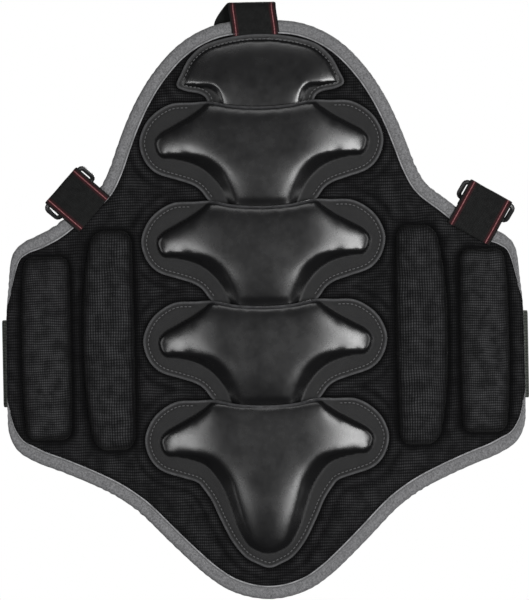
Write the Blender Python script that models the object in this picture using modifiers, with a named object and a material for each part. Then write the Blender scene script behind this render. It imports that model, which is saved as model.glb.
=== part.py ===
"""Back protector: a quilted, edge-bound foam panel in five rows that fold at the spine, with
overlapping moulded plates, rib cushions, a neck loop, shoulder straps, side rings and a waist belt.

Frame: +X across the back, +Z up the spine, the plates face -Y. The origin lies on the rear lining,
on the spine, at the height of the waist belt. Tables are in millimetres; MM turns them into metres.
"""

import math

import bmesh
import bpy
import numpy as np
from mathutils import Matrix, Vector

MM = 0.001

# ---- driving dimensions, in millimetres ----
GAP = 0.3  # between pieces that touch
ROWS = ("neck", "shoulder", "chest", "waist", "tail")
FOLDS = (200.0, 121.0, 42.0, -37.0)  # heights of the four fold lines
FOLD_GAP = 0.25  # each row stops this far from its fold line
LINING_T, CORE_T, COVER_T = 1.5, 6.0, 1.2
FACE = -(LINING_T + CORE_T + COVER_T + 2 * GAP)  # y of the cover's front
BINDING_T = 1.0
BINDING_W, BINDING_SIDE_W = 11.0, 5.0  # binding's width over the panel, and along the sides
SHELL_T = 2.2
CROWN_INSET = 4.0
INSERT_T = 3.5
CUSHION_H = 9.0
WEBBING_W, WEBBING_T = 38.0, 1.4
BELT_H, BELT_T = 70.0, 1.6
BELT_FOLD_X = 209.5
BELT_END_X = 12.0
RING_BAR = 3.6
RING_SPAN = 14.0  # between the centres of the ring's two long bars
STRAP_X = 24.0
STRAP_T = 2.8
LUMBAR_PAD = (62.0, -112.0, -48.0, 3.0)  # half width, z of the foot and the top, thickness

# Right half of the panel's outline, from the top of the spine to the tip of the tail.
OUTLINE = (
    (0, 271), (28, 269.5), (50, 262), (69, 249), (86, 230), (98.5, 210.5), (108, 191),
    (115.5, 172), (122.5, 153), (131, 138), (147, 125), (166, 110), (180, 102.5), (193, 96),
    (201.5, 85), (204.5, 60), (206.5, 37), (207, 0), (207, -38), (206, -56), (199, -70),
    (184, -79.5), (165, -87), (143, -96.5), (124, -106), (109, -116), (98, -125.5),
    (79, -145), (59.5, -164), (48, -174), (34, -183.5), (17.5, -189.7), (0, -192),
)

# A plate's right half from top to bottom: crown edge, foot of the wall and flange rim, each as
# (x, z, height). Heights stand on the cover; z is measured from the plate's wing tips.
WING_TOP = (
    ((0, 26.5, 12), (0, 27.8, 10.2), (0, 28.4, 9)),
    ((22, 27.8, 12), (22, 29.1, 10.2), (22, 29.7, 9)),
    ((40, 31, 12), (40.6, 32.3, 8.5), (41, 33.4, 5.8)),
    ((47, 25.5, 12.5), (49.5, 28, 4.6), (55, 33.2, 4.4)),
    ((56, 19.5, 12.5), (58, 22.3, 2.6), (71.5, 32.5, 2.4)),
    ((68, 13.2, 12), (70, 16, 2.6), (85, 25.2, 2.4)),
    ((79.5, 7, 11), (82, 9.5, 2.6), (93.5, 15, 2.4)),
    ((84, 0.5, 9.5), (87.3, 1, 2.6), (97.5, 1.5, 2.4)),
    ((79.5, -8.3, 11), (82, -11, 2.6), (93.5, -13, 2.4)),
    ((68, -9, 12), (70, -13, 2.6), (84, -22.8, 2.4)),
    ((56, -9.5, 12.5), (60, -15.5, 2.6), (68, -28.3, 2.4)),
    ((43, -12.5, 12.5), (50.5, -19.5, 2.6), (57, -32, 2.4)),
)
WING_STEM = (
    ((33, -20.5, 11.5), (41.5, -26.5, 2.6), (50, -36.5, 2.4)),
    ((27, -31.5, 10), (34, -36, 2.6), (45, -43, 2.4)),
    ((22.5, -42, 8.2), (30, -45.5, 2.6), (42, -47, 2.4)),
    ((20, -49, 7), (29, -50, 2.6), (41, -52, 2.4)),
    ((18.5, -55, 6), (28, -56.2, 2.6), (40, -57.5, 2.4)),
    ((0, -55, 6), (0, -56.2, 5.8), (0, -57.5, 5.6)),
)
TAIL_STEM = (
    ((35, -20.5, 11.5), (43, -27.5, 2.6), (52, -37, 2.4)),
    ((28.5, -31, 11), (36.5, -38, 2.6), (45, -47.6, 2.4)),
    ((24.5, -46, 10), (31.5, -52, 2.6), (38.6, -62, 2.4)),
    ((19.2, -64, 9), (26.5, -67.5, 2.6), (29.8, -79.4, 2.4)),
    ((12.8, -79, 8), (18.5, -82, 2.6), (19.7, -92.2, 2.4)),
    ((5.5, -84.5, 7.5), (9, -88.5, 2.6), (9, -98.5, 2.4)),
    ((0, -86, 7.5), (0, -90.5, 2.6), (0, -101.5, 2.4)),
)
CAP = (
    ((0, 43, 4.5), (0, 44, 2.6), (0, 46, 2.4)),
    ((16, 41.8, 4.5), (16, 42.8, 2.6), (16, 45, 2.4)),
    ((31, 38.8, 4.5), (31.5, 39.8, 2.6), (32, 42, 2.4)),
    ((44, 34, 4.5), (44.7, 35, 2.6), (46, 37, 2.4)),
    ((53.5, 25, 5), (54.5, 25.8, 2.6), (57, 27, 2.4)),
    ((59, 15.5, 5), (60, 16, 2.6), (63, 16, 2.4)),
    ((62, 9, 5), (63, 8, 2.6), (67, 6, 2.4)),
    ((60, 6.8, 5), (61, 4.8, 2.6), (60, 1.5, 2.4)),
    ((50, 6.1, 6.5), (50, 3, 2.6), (50, -0.5, 2.4)),
    ((38.5, 5.8, 7.5), (41, 2, 2.6), (44.5, -3.5, 2.4)),
    ((33, 2, 7.5), (36.5, -2.5, 2.6), (42.5, -8, 2.4)),
    ((30.5, -5.5, 6.2), (34.5, -8.5, 2.6), (41, -14, 2.4)),
    ((26, -17, 4.8), (33, -18.2, 2.6), (40, -20, 2.4)),
    ((0, -17, 4.8), (0, -18.2, 4.7), (0, -20, 4.6)),
)
PLATE_Z = {"neck": 213.5, "shoulder": 172.5, "chest": 93.5, "waist": 14.0, "tail": -65.0}

# Right half of each plate's foam insert, in the plate's own x and z.
WING_INSERT = (
    (42, 16), (60, 8.5), (75, 2.5), (75, -4), (55, -5), (39, -8.5), (28, -17.5),
    (21.5, -29), (17, -40), (15, -46),
)
TAIL_INSERT = (
    (42, 16), (60, 8.5), (75, 2.5), (75, -4), (55, -5), (39, -8.5), (29, -17.5),
    (23, -29), (19.5, -44), (14.5, -62), (8, -76), (3, -80),
)
CAP_INSERT = ((16, 35), (30, 32.5), (42, 28), (50, 20), (54, 12), (40, 11.5), (28, 4), (24, -10))

# Rib cushions: x of the inner and outer side, z of the foot and the top, corner radius.
CUSHIONS = {"inner": (104.0, 144.0, -70.5, 105.0, 11.0), "outer": (154.5, 193.0, -61.5, 85.0, 8.0)}

# Side tabs: middle of the fold (x, z), angle of the pull above the horizontal, length.
TABS = {"left": (161.5, 142.5, 41.8, 31.0), "right": (183.5, 131.5, 60.0, 33.0)}
TAB_REACH = {"left": 22.0, "right": 27.0}  # from the panel's edge to the fold

COLOURS = {
    "mesh": ((0.016, 0.016, 0.018), 0.9),
    "foam": ((0.05, 0.05, 0.055), 0.95),
    "lining": ((0.03, 0.03, 0.034), 0.95),
    "tape": ((0.33, 0.33, 0.34), 0.8),
    "shell": ((0.02, 0.02, 0.022), 0.35),
    "webbing": ((0.02, 0.02, 0.02), 0.75),
    "belt": ((0.05, 0.055, 0.05), 0.85),
    "plastic": ((0.015, 0.015, 0.016), 0.4),
    "hook": ((0.02, 0.02, 0.022), 0.95),
}


# ---- helpers ----
def clear_scene():
    for obj in list(bpy.data.objects):
        bpy.data.objects.remove(obj, do_unlink=True)


def material(slot):
    existing = bpy.data.materials.get(slot)
    if existing:
        return existing
    colour, roughness = COLOURS[slot]
    made = bpy.data.materials.new(slot)
    made.use_nodes = True
    shader = made.node_tree.nodes["Principled BSDF"]
    shader.inputs["Base Color"].default_value = (*colour, 1.0)
    shader.inputs["Roughness"].default_value = roughness
    shader.inputs["Metallic"].default_value = 0.0
    return made


def add(name, data, slot, matrix=None):
    """Puts a mesh or curve, already in metres, into the object's collection."""
    obj = bpy.data.objects.new(name, data)
    data.materials.append(material(slot))
    COLLECTION.objects.link(obj)
    if matrix is not None:
        obj.matrix_world = matrix
    return obj


def standing(y):
    """Matrix that stands an XY drawing up as XZ, its thickness centred on y."""
    return Matrix.Translation((0, y * MM, 0)) @ Matrix.Rotation(math.radians(90), 4, "X")


def drawing(name, outlines, y_front, y_back, slot, matrix=None):
    """A flat piece: closed outlines in x and z (the later ones are holes) between two depths."""
    curve = bpy.data.curves.new(name, "CURVE")
    curve.dimensions = "2D"
    curve.fill_mode = "BOTH"
    curve.extrude = abs(y_back - y_front) / 2 * MM
    for outline in outlines:
        spline = curve.splines.new("POLY")
        spline.points.add(len(outline) - 1)
        spline.use_cyclic_u = True
        for point, (x, z) in zip(spline.points, outline):
            point.co = (x * MM, z * MM, 0, 1)
    place = standing((y_front + y_back) / 2) if matrix is None else matrix
    return add(name, curve, slot, place)


def loft(name, sections, slot):
    """A closed body through sections of equal point counts, each a list of (x, y, z)."""
    mesh = bmesh.new()
    rings = [[mesh.verts.new(Vector(p) * MM) for p in section] for section in sections]
    count = len(rings[0])
    for low, high in zip(rings, rings[1:]):
        for i in range(count):
            j = (i + 1) % count
            mesh.faces.new((low[i], low[j], high[j], high[i]))
    mesh.faces.new(rings[0])
    mesh.faces.new(rings[-1])
    bmesh.ops.recalc_face_normals(mesh, faces=mesh.faces)
    data = bpy.data.meshes.new(name)
    mesh.to_mesh(data)
    mesh.free()
    return add(name, data, slot)


def box(name, x, y, z, slot):
    """A plain slab between the given pairs of x, y and z."""
    low, high = np.minimum(*zip(x, y, z)), np.maximum(*zip(x, y, z))
    mesh = bmesh.new()
    bmesh.ops.create_cube(mesh, size=1.0)
    bmesh.ops.scale(mesh, vec=Vector((high - low) * MM), verts=mesh.verts)
    bmesh.ops.translate(mesh, vec=Vector((high + low) / 2 * MM), verts=mesh.verts)
    data = bpy.data.meshes.new(name)
    mesh.to_mesh(data)
    mesh.free()
    return add(name, data, slot)


def smooth_line(points, steps):
    """Catmull-Rom curve through the points, as an array of points."""
    p = np.array([points[0], *points, points[-1]], float)
    out = []
    for a, b, c, d in zip(p, p[1:], p[2:], p[3:]):
        for t in np.arange(steps) / steps:
            out.append(0.5 * (2 * b + (c - a) * t + (2 * a - 5 * b + 4 * c - d) * t**2
                              + (3 * b - a - 3 * c + d) * t**3))
    return np.array([*out, p[-1]])


def inset(line, width):
    """The half outline moved inwards; its ends stay on the spine. width may be a list."""
    line = np.asarray(line, float)
    tangent = np.gradient(line, axis=0)
    tangent /= np.linalg.norm(tangent, axis=1)[:, None]
    tangent[0], tangent[-1] = (1, 0), (-1, 0)
    inward = np.column_stack((tangent[:, 1], -tangent[:, 0]))
    return line + inward * np.reshape(width, (-1, 1))


def between(line, top, bottom):
    """The stretch of a line that runs down from height top to height bottom."""
    x, z = line[:, 0][::-1], line[:, 1][::-1]
    keep = line[(line[:, 1] < top) & (line[:, 1] > bottom)]
    first = [(np.interp(top, z, x), top)] if top < line[0, 1] else []
    last = [(np.interp(bottom, z, x), bottom)] if bottom > line[-1, 1] else []
    return np.array([*first, *keep, *last])


def even(line, count):
    """The line again with count points at equal distances."""
    run = np.concatenate(([0], np.cumsum(np.linalg.norm(np.diff(line, axis=0), axis=1))))
    at = np.linspace(0, run[-1], count)
    return np.column_stack([np.interp(at, run, line[:, k]) for k in (0, 1)])


def mirrored(half):
    """A closed outline from its right half, which runs from top to bottom."""
    left = [(-x, z) for x, z in reversed([tuple(p) for p in half]) if x > 1e-6]
    return [tuple(p) for p in half] + left


def rounded(x0, x1, z0, z1, radius, steps=3):
    """A rectangle with round corners."""
    out = []
    corners = ((x1, z1, 0), (x0, z1, 90), (x0, z0, 180), (x1, z0, 270))
    for x, z, start in corners:
        cx = x - radius if x == x1 else x + radius
        cz = z - radius if z == z1 else z + radius
        for k in range(steps + 1):
            turn = math.radians(start + 90 * k / steps)
            out.append((cx + radius * math.cos(turn), cz + radius * math.sin(turn)))
    return out


# ---- the panel ----
def row_span(row):
    i = ROWS.index(row)
    top = FOLDS[i - 1] - FOLD_GAP if i else math.inf
    bottom = FOLDS[i] + FOLD_GAP if i < len(FOLDS) else -math.inf
    return top, bottom


def row_side(row, line, spacing=11.0):
    """The right side of a row along a line, with points about one spacing apart."""
    piece = between(line, *row_span(row))
    length = np.linalg.norm(np.diff(piece, axis=0), axis=1).sum()
    return even(piece, max(4, round(length / spacing) + 1))


def panel_layers(edge):
    """Lining, foam core and ribbed cover of each row."""
    line = inset(edge, BINDING_T + GAP)
    lining = (0.0, -LINING_T)
    core = (-LINING_T - GAP, -LINING_T - GAP - CORE_T)
    cover = (FACE + COVER_T, FACE)
    for row in ROWS:
        outline = mirrored(row_side(row, line))
        drawing(f"lining_{row}", [outline], *lining, "lining")
        drawing(f"foam_core_{row}", [outline], *core, "foam")
        drawing(f"cover_{row}", [outline], *cover, "mesh")


def binding_section(outer, wall, leg, side):
    """U section around the panel's edge; side is 1 for the right and -1 for the left."""
    front, back = FACE - GAP - BINDING_T, GAP + BINDING_T
    ring = [(outer, front), (outer, back), (leg, back), (leg, GAP),
            (wall, GAP), (wall, FACE - GAP), (leg, FACE - GAP), (leg, front)]
    return [(side * p[0], y, p[1]) for p, y in ring]


def bindings(edge):
    """Edge tape: one arch at the neck, one point at the tail, and a strip on each side between."""
    sides = np.clip((np.abs(edge[:, 1] - 22) - 55) / 25, 0, 1)
    width = BINDING_SIDE_W + (BINDING_W - BINDING_SIDE_W) * np.where(edge[:, 0] > 150, sides, 1)
    for row in ROWS:
        lines = [edge, inset(edge, BINDING_T), inset(edge, width)]
        count = len(row_side(row, edge))
        stations = list(zip(*[even(between(line, *row_span(row)), count) for line in lines]))
        right = [binding_section(*s, 1) for s in stations]
        left = [binding_section(*s, -1) for s in stations]
        if row == "neck":
            loft("binding_neck", left[:0:-1] + right, "tape")
        elif row == "tail":
            loft("binding_tail", left + right[-2::-1], "tape")
        else:
            loft(f"binding_left_{row}", left, "tape")
            loft(f"binding_right_{row}", right, "tape")


# ---- plates ----
def plate(row, stations):
    """Moulded shell: flange, steep wall and crown, hollow underneath."""
    crown = np.array([s[0] for s in stations], float)
    foot = np.array([s[1] for s in stations], float)
    rim = np.array([s[2] for s in stations], float)
    ridge = np.column_stack((inset(crown[:, :2], CROWN_INSET), crown[:, 2] + 1.5))
    mesh = bmesh.new()
    base = FACE - GAP
    rings = [[mesh.verts.new((x * MM, (base - h) * MM, (z + PLATE_Z[row]) * MM)) for x, z, h in ring]
             for ring in (rim, foot, crown, ridge)]
    for outer, inner in zip(rings, rings[1:]):
        for i in range(len(outer) - 1):
            mesh.faces.new((outer[i], inner[i], inner[i + 1], outer[i + 1]))
    mesh.faces.new(rings[-1][::-1])
    mesh.normal_update()
    turned = [f for f in mesh.faces if f.normal.y > 0]
    if len(turned) > len(mesh.faces) / 2:
        bmesh.ops.reverse_faces(mesh, faces=mesh.faces)
    data = bpy.data.meshes.new(f"plate_{row}")
    mesh.to_mesh(data)
    mesh.free()
    obj = add(f"plate_{row}", data, "shell")
    mirror = obj.modifiers.new("both halves", "MIRROR")
    mirror.merge_threshold = 0.00005
    wall = obj.modifiers.new("wall", "SOLIDIFY")
    wall.thickness = SHELL_T * MM
    wall.offset = -1.0
    wall.use_even_offset = True


def plates():
    forms = {"neck": CAP, "tail": WING_TOP + TAIL_STEM}
    inserts = {"neck": CAP_INSERT, "tail": TAIL_INSERT}
    for row in ROWS:
        plate(row, forms.get(row, WING_TOP + WING_STEM))
        half = [(x, z + PLATE_Z[row]) for x, z in inserts.get(row, WING_INSERT)]
        back = FACE - GAP
        drawing(f"plate_insert_{row}", [mirrored(half)], back, back - INSERT_T, "foam")


# ---- cushions ----
def cushions():
    """Thermoformed rib cushions, two on each side, with a rounded front edge."""
    back = FACE - GAP
    for place, (x0, x1, z0, z1, radius) in CUSHIONS.items():
        for side, sign in (("left", -1), ("right", 1)):
            rings = []
            for shrink, height in ((0, 0), (0, CUSHION_H - 4), (1.2, CUSHION_H - 1.2), (4, CUSHION_H)):
                ring = rounded(x0 + shrink, x1 - shrink, z0 + shrink, z1 - shrink, radius - shrink)
                rings.append([(sign * x, back - height, z) for x, z in ring])
            loft(f"cushion_{place}_{side}", rings, "mesh")


def lumbar_pad():
    """Flat comfort pad on the lining, under the belt."""
    half, foot, top, thickness = LUMBAR_PAD
    box("lumbar_pad", (-half, half), (GAP, GAP + thickness), (foot, top), "lining")


# ---- webbing and rings ----
def band(name, path, matrix, width):
    """Webbing bent along a path in its own side view and extruded to its width."""
    path = np.array(path, float)
    tangent = np.gradient(path, axis=0)
    tangent /= np.linalg.norm(tangent, axis=1)[:, None]
    normal = np.column_stack((-tangent[:, 1], tangent[:, 0])) * WEBBING_T / 2
    ring = [tuple(p) for p in path + normal] + [tuple(p) for p in (path - normal)[::-1]]
    return drawing(name, [ring], -width / 2, width / 2, "webbing", matrix)


def arc(cx, cy, radius, start, end, steps):
    turns = np.radians(np.linspace(start, end, steps + 1))
    return [(cx + radius * math.cos(a), cy + radius * math.sin(a)) for a in turns]


def neck_loop():
    """Loop that stands over the top edge: front end on the cover, rear end on the lining."""
    front, rear = FACE - 2 * GAP - BINDING_T - WEBBING_T / 2, 2 * GAP + BINDING_T + WEBBING_T / 2
    radius = (rear - front) / 2
    middle, crest = (front + rear) / 2, 277.0
    path = [(262.0, front), (268.0, front), (273.0, front)]
    path += [(crest + radius * math.sin(t), middle - radius * math.cos(t))
             for t in np.linspace(0.15, math.pi - 0.15, 11)]
    path += [(273.0, rear), (262.0, rear), (250.0, rear), (241.0, rear)]
    # The drawing's x runs up the spine and its y runs towards the wearer.
    matrix = Matrix(((0, 0, 1, 0), (0, 1, 0, 0), (1, 0, 0, 0), (0, 0, 0, 1)))
    matrix = Matrix.Translation((-3.5 * MM, 0, 0)) @ matrix
    band("neck_loop", path, matrix, WEBBING_W)
    box("neck_patch", (-46, 46), (3.4, 4.4), (222, 262), "webbing")


def pull_frame(side):
    """Matrix of a side tab: x along the pull, y towards the wearer, origin in the fold's middle."""
    x, z, angle, _ = TABS[side]
    turn = math.radians(angle)
    sign = -1 if side == "left" else 1
    pull = Vector((sign * math.cos(turn), 0, math.sin(turn)))
    rear = Vector((0, 1, 0))
    across = pull.cross(rear)
    frame = Matrix((pull, rear, across)).transposed().to_4x4()
    return Matrix.Translation((sign * x * MM, 0, z * MM)) @ frame


BAR_BACK = RING_BAR / 2 + GAP + WEBBING_T  # from the middle of the bar to the outside of the fold
BAR_Y = -6.0
RING_TILT = math.asin(5.6 / RING_SPAN)


def side_tabs():
    """Webbing tabs that pass around the rings' outer bars."""
    front = FACE - 2 * GAP - BINDING_T - WEBBING_T / 2
    wrap = RING_BAR / 2 + GAP + WEBBING_T / 2
    for side in TABS:
        length, reach = TABS[side][3], TAB_REACH[side]
        path = [(-length, front), (-length + 6, front), (-reach + 2, front), (-reach + 5, front + 0.3)]
        path += arc(-BAR_BACK, BAR_Y, wrap, -100, 90, 8)
        path += [(-reach / 2 - 2, BAR_Y + wrap), (-reach + 4.5, BAR_Y + wrap)]
        band(f"tab_{side}", path, pull_frame(side), WEBBING_W)


def rings():
    """Rectangular strap rings, folded back behind their tabs."""
    width, corner = WEBBING_W + 2 + RING_BAR, 3.0
    outline = rounded(-RING_SPAN, 0, -width / 2, width / 2, corner, steps=3)
    for side in TABS:
        curve = bpy.data.curves.new(f"ring_{side}", "CURVE")
        curve.dimensions = "3D"
        curve.bevel_depth = RING_BAR / 2 * MM
        curve.bevel_resolution = 2
        spline = curve.splines.new("POLY")
        spline.points.add(len(outline) - 1)
        spline.use_cyclic_u = True
        for point, (u, v) in zip(spline.points, outline):
            point.co = (u * MM, 0, v * MM, 1)
        hinge = pull_frame(side) @ Matrix.Translation((-BAR_BACK * MM, BAR_Y * MM, 0))
        tilt = Matrix.Rotation(-RING_TILT, 4, "Z")
        add(f"ring_{side}", curve, "plastic", hinge @ tilt)


def shoulder_straps():
    """Straps doubled through their sliders, hanging on the lining, in one stretch per row."""
    spans = {"neck": (236.0, FOLDS[0] + 0.7), "shoulder": (FOLDS[0] - 0.7, FOLDS[1] + 0.7),
             "chest": (FOLDS[1] - 0.7, 47.0)}
    for side, sign in (("left", -1), ("right", 1)):
        low, high = STRAP_X - WEBBING_W / 2, STRAP_X + WEBBING_W / 2
        for row, (top, bottom) in spans.items():
            box(f"strap_{side}_{row}", (sign * low, sign * high), (GAP, GAP + STRAP_T),
                (bottom, top), "webbing")
        slider(side, sign * STRAP_X)


def slider(side, x):
    """Three-bar slide over the doubled strap."""
    z, half_w, half_h = 160.0, 24.0, 12.0
    frame = rounded(x - half_w, x + half_w, z - half_h, z + half_h, 3.0, steps=2)
    slots = [rounded(x - 20, x + 20, z + a, z + a + 6.5, 1.0, steps=1) for a in (-9.0, 2.5)]
    back = 2 * GAP + STRAP_T
    drawing(f"slider_{side}", [frame, *slots], back, back + 2.0, "plastic")


# ---- waist belt ----
def belt():
    """Belt wings folded behind the waist row, on anchors sewn to the lining."""
    anchor_back = 2 * GAP + BINDING_T
    wing_back = anchor_back + BELT_T + GAP
    half = BELT_H / 2
    for side, sign in (("left", -1), ("right", 1)):
        box(f"belt_anchor_{side}", (sign * 150, sign * BELT_FOLD_X),
            (anchor_back, anchor_back + BELT_T), (-half, half), "belt")
        box(f"belt_wing_{side}", (sign * BELT_END_X, sign * BELT_FOLD_X),
            (wing_back, wing_back + BELT_T), (-half, half), "belt")
    box("belt_hook_left", (-82, -18), (wing_back - GAP - 1.0, wing_back - GAP), (-29, 29), "hook")
    pile = wing_back + BELT_T + GAP
    box("belt_pile_right", (18, 100), (pile, pile + 1.0), (-29, 29), "hook")


clear_scene()
COLLECTION = bpy.data.collections.new("back_protector")
bpy.context.scene.collection.children.link(COLLECTION)

EDGE = smooth_line(OUTLINE, 3)
panel_layers(EDGE)
bindings(EDGE)
plates()
cushions()
lumbar_pad()
neck_loop()
side_tabs()
rings()
shoulder_straps()
belt()
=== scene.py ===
"""Looks of the back protector: quilted ribbed cover, moulded plates, rib cushions, bound edge,
webbing, straps and belt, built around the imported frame. Tables are in millimetres, and MM turns
them into metres.
"""

import math

import bmesh
import bpy
import numpy as np
from mathutils import Matrix, Vector
from mathutils.geometry import delaunay_2d_cdt

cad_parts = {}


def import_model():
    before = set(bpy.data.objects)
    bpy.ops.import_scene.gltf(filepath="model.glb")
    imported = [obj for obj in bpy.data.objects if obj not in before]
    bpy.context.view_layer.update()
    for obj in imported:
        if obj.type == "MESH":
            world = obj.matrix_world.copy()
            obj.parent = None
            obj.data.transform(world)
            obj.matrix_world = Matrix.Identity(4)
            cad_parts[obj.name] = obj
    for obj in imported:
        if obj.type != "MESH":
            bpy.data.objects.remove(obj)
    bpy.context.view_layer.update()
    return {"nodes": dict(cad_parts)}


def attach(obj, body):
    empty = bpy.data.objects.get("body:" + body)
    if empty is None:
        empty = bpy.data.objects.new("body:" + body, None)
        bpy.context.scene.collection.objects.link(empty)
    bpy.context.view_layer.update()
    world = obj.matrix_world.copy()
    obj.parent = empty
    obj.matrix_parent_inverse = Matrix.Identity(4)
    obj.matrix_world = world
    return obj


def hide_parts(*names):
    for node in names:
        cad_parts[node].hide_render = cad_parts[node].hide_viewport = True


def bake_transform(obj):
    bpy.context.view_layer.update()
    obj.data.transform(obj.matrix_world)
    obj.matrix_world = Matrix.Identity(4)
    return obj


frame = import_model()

MM = 0.001

# ---- sizes shared with the CAD model, in millimetres ----
GAP = 0.3  # between a piece and the one it lies on
FACE = -9.3  # y of the cover's front
MIDDLE_Y = -4.0  # half way between the cover and the lining
BINDING_W, BINDING_SIDE_W = 11.0, 5.0
WEBBING_W, WEBBING_T = 38.0, 1.4
RING_BAR = 3.6
STRAP_X, STRAP_T = 24.0, 1.3
STRAP_LAYERS = (("inner", 1.0), ("outer", 2.45))  # y of the middle of each layer
BELT_HALF, BELT_T = 35.0, 1.5
BELT_SEAM_X, BELT_FOLD_X, BELT_TIP_X = 150.0, 209.5, 12.0
ANCHOR_Y, WING_Y = 2.4, 4.3  # the belt's layers in front of and behind its fold
SIDES = (("left", -1), ("right", 1))

# Right half of the panel's outline, from the top of the spine to the tip of the tail.
OUTLINE = (
    (0, 271), (28, 269.5), (50, 262), (69, 249), (86, 230), (98.5, 210.5), (108, 191),
    (115.5, 172), (122.5, 153), (131, 138), (147, 125), (166, 110), (180, 102.5), (193, 96),
    (201.5, 85), (204.5, 60), (206.5, 37), (207, 0), (207, -38), (206, -56), (199, -70),
    (184, -79.5), (165, -87), (143, -96.5), (124, -106), (109, -116), (98, -125.5),
    (79, -145), (59.5, -164), (48, -174), (34, -183.5), (17.5, -189.7), (0, -192),
)

# A plate's right half from top to bottom: crown edge, foot of the wall and flange rim, each as
# (x, z, height). Heights stand on the cover; z is measured from the plate's wing tips.
WING_TOP = (
    ((0, 26.5, 12), (0, 27.8, 10.2), (0, 28.4, 9)),
    ((22, 27.8, 12), (22, 29.1, 10.2), (22, 29.7, 9)),
    ((40, 31, 12), (40.6, 32.3, 8.5), (41, 33.4, 5.8)),
    ((47, 25.5, 12.5), (49.5, 28, 4.6), (55, 33.2, 4.4)),
    ((56, 19.5, 12.5), (58, 22.3, 2.6), (71.5, 32.5, 2.4)),
    ((68, 13.2, 12), (70, 16, 2.6), (85, 25.2, 2.4)),
    ((79.5, 7, 11), (82, 9.5, 2.6), (93.5, 15, 2.4)),
    ((84, 0.5, 9.5), (87.3, 1, 2.6), (97.5, 1.5, 2.4)),
    ((79.5, -8.3, 11), (82, -11, 2.6), (93.5, -13, 2.4)),
    ((68, -9, 12), (70, -13, 2.6), (84, -22.8, 2.4)),
    ((56, -9.5, 12.5), (60, -15.5, 2.6), (68, -28.3, 2.4)),
    ((43, -12.5, 12.5), (50.5, -19.5, 2.6), (57, -32, 2.4)),
)
WING_STEM = (
    ((33, -20.5, 11.5), (41.5, -26.5, 2.6), (50, -36.5, 2.4)),
    ((27, -31.5, 10), (34, -36, 2.6), (45, -43, 2.4)),
    ((22.5, -42, 8.2), (30, -45.5, 2.6), (42, -47, 2.4)),
    ((20, -49, 7), (29, -50, 2.6), (41, -52, 2.4)),
    ((18.5, -55, 6), (28, -56.2, 2.6), (40, -57.5, 2.4)),
    ((0, -55, 6), (0, -56.2, 5.8), (0, -57.5, 5.6)),
)
TAIL_STEM = (
    ((35, -20.5, 11.5), (43, -27.5, 2.6), (52, -37, 2.4)),
    ((28.5, -31, 11), (36.5, -38, 2.6), (45, -47.6, 2.4)),
    ((24.5, -46, 10), (31.5, -52, 2.6), (38.6, -62, 2.4)),
    ((19.2, -64, 9), (26.5, -67.5, 2.6), (29.8, -79.4, 2.4)),
    ((12.8, -79, 8), (18.5, -82, 2.6), (19.7, -92.2, 2.4)),
    ((5.5, -84.5, 7.5), (9, -88.5, 2.6), (9, -98.5, 2.4)),
    ((0, -86, 7.5), (0, -90.5, 2.6), (0, -101.5, 2.4)),
)
CAP = (
    ((0, 43, 4.5), (0, 44, 2.6), (0, 46, 2.4)),
    ((16, 41.8, 4.5), (16, 42.8, 2.6), (16, 45, 2.4)),
    ((31, 38.8, 4.5), (31.5, 39.8, 2.6), (32, 42, 2.4)),
    ((44, 34, 4.5), (44.7, 35, 2.6), (46, 37, 2.4)),
    ((53.5, 25, 5), (54.5, 25.8, 2.6), (57, 27, 2.4)),
    ((59, 15.5, 5), (60, 16, 2.6), (63, 16, 2.4)),
    ((62, 9, 5), (63, 8, 2.6), (67, 6, 2.4)),
    ((60, 6.8, 5), (61, 4.8, 2.6), (60, 1.5, 2.4)),
    ((50, 6.1, 6.5), (50, 3, 2.6), (50, -0.5, 2.4)),
    ((38.5, 5.8, 7.5), (41, 2, 2.6), (44.5, -3.5, 2.4)),
    ((33, 2, 7.5), (36.5, -2.5, 2.6), (42.5, -8, 2.4)),
    ((30.5, -5.5, 6.2), (34.5, -8.5, 2.6), (41, -14, 2.4)),
    ((26, -17, 4.8), (33, -18.2, 2.6), (40, -20, 2.4)),
    ((0, -17, 4.8), (0, -18.2, 4.7), (0, -20, 4.6)),
)
PLATE_Z = {"neck": 213.5, "shoulder": 172.5, "chest": 93.5, "waist": 14.0, "tail": -65.0}

# Rib cushions: x of the inner and outer side, z of the foot and the top, corner radius.
CUSHIONS = {"inner": (104.0, 144.0, -70.5, 105.0, 11.0), "outer": (154.5, 193.0, -61.5, 85.0, 8.0)}
CUSHION_H = 9.0

# Side tabs: middle of the fold (x, z), angle of the pull above the horizontal, length.
TABS = {"left": (161.5, 142.5, 41.8, 31.0), "right": (183.5, 131.5, 60.0, 33.0)}
TAB_REACH = {"left": 22.0, "right": 27.0}
TAB_TAIL = {"left": 5.5, "right": 7.0}  # sewn down on the cover past the CAD tab's end

# The soft layers are cut between the folds, so that each section holds one fold.
SECTIONS = {  # name: (top, bottom, fold, body below the fold, body above it)
    "upper": (300.0, 160.5, 200.0, "shoulder", "neck"),
    "middle": (160.5, 81.5, 121.0, "chest", "shoulder"),
    "lower": (81.5, 2.5, 42.0, "waist", "chest"),
    "tail": (2.5, -300.0, -37.0, "tail", "waist"),
}
SECTION_ROWS = {
    "upper": ("neck", "shoulder"), "middle": ("chest",), "lower": ("waist",), "tail": ("tail",),
}


# ---- lines and distances ----
def smooth_line(points, steps):
    """Catmull-Rom curve through the points, mirrored past its ends at the spine."""
    flip = np.array([-1.0] + [1.0] * (len(points[0]) - 1))
    p = np.array(points, float)
    p = np.array([p[1] * flip, *p, p[-2] * flip])
    out = []
    for a, b, c, d in zip(p, p[1:], p[2:], p[3:]):
        for t in np.arange(steps) / steps:
            out.append(0.5 * (2 * b + (c - a) * t + (2 * a - 5 * b + 4 * c - d) * t**2
                              + (3 * b - a - 3 * c + d) * t**3))
    return np.array([*out, p[-2]])


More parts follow.
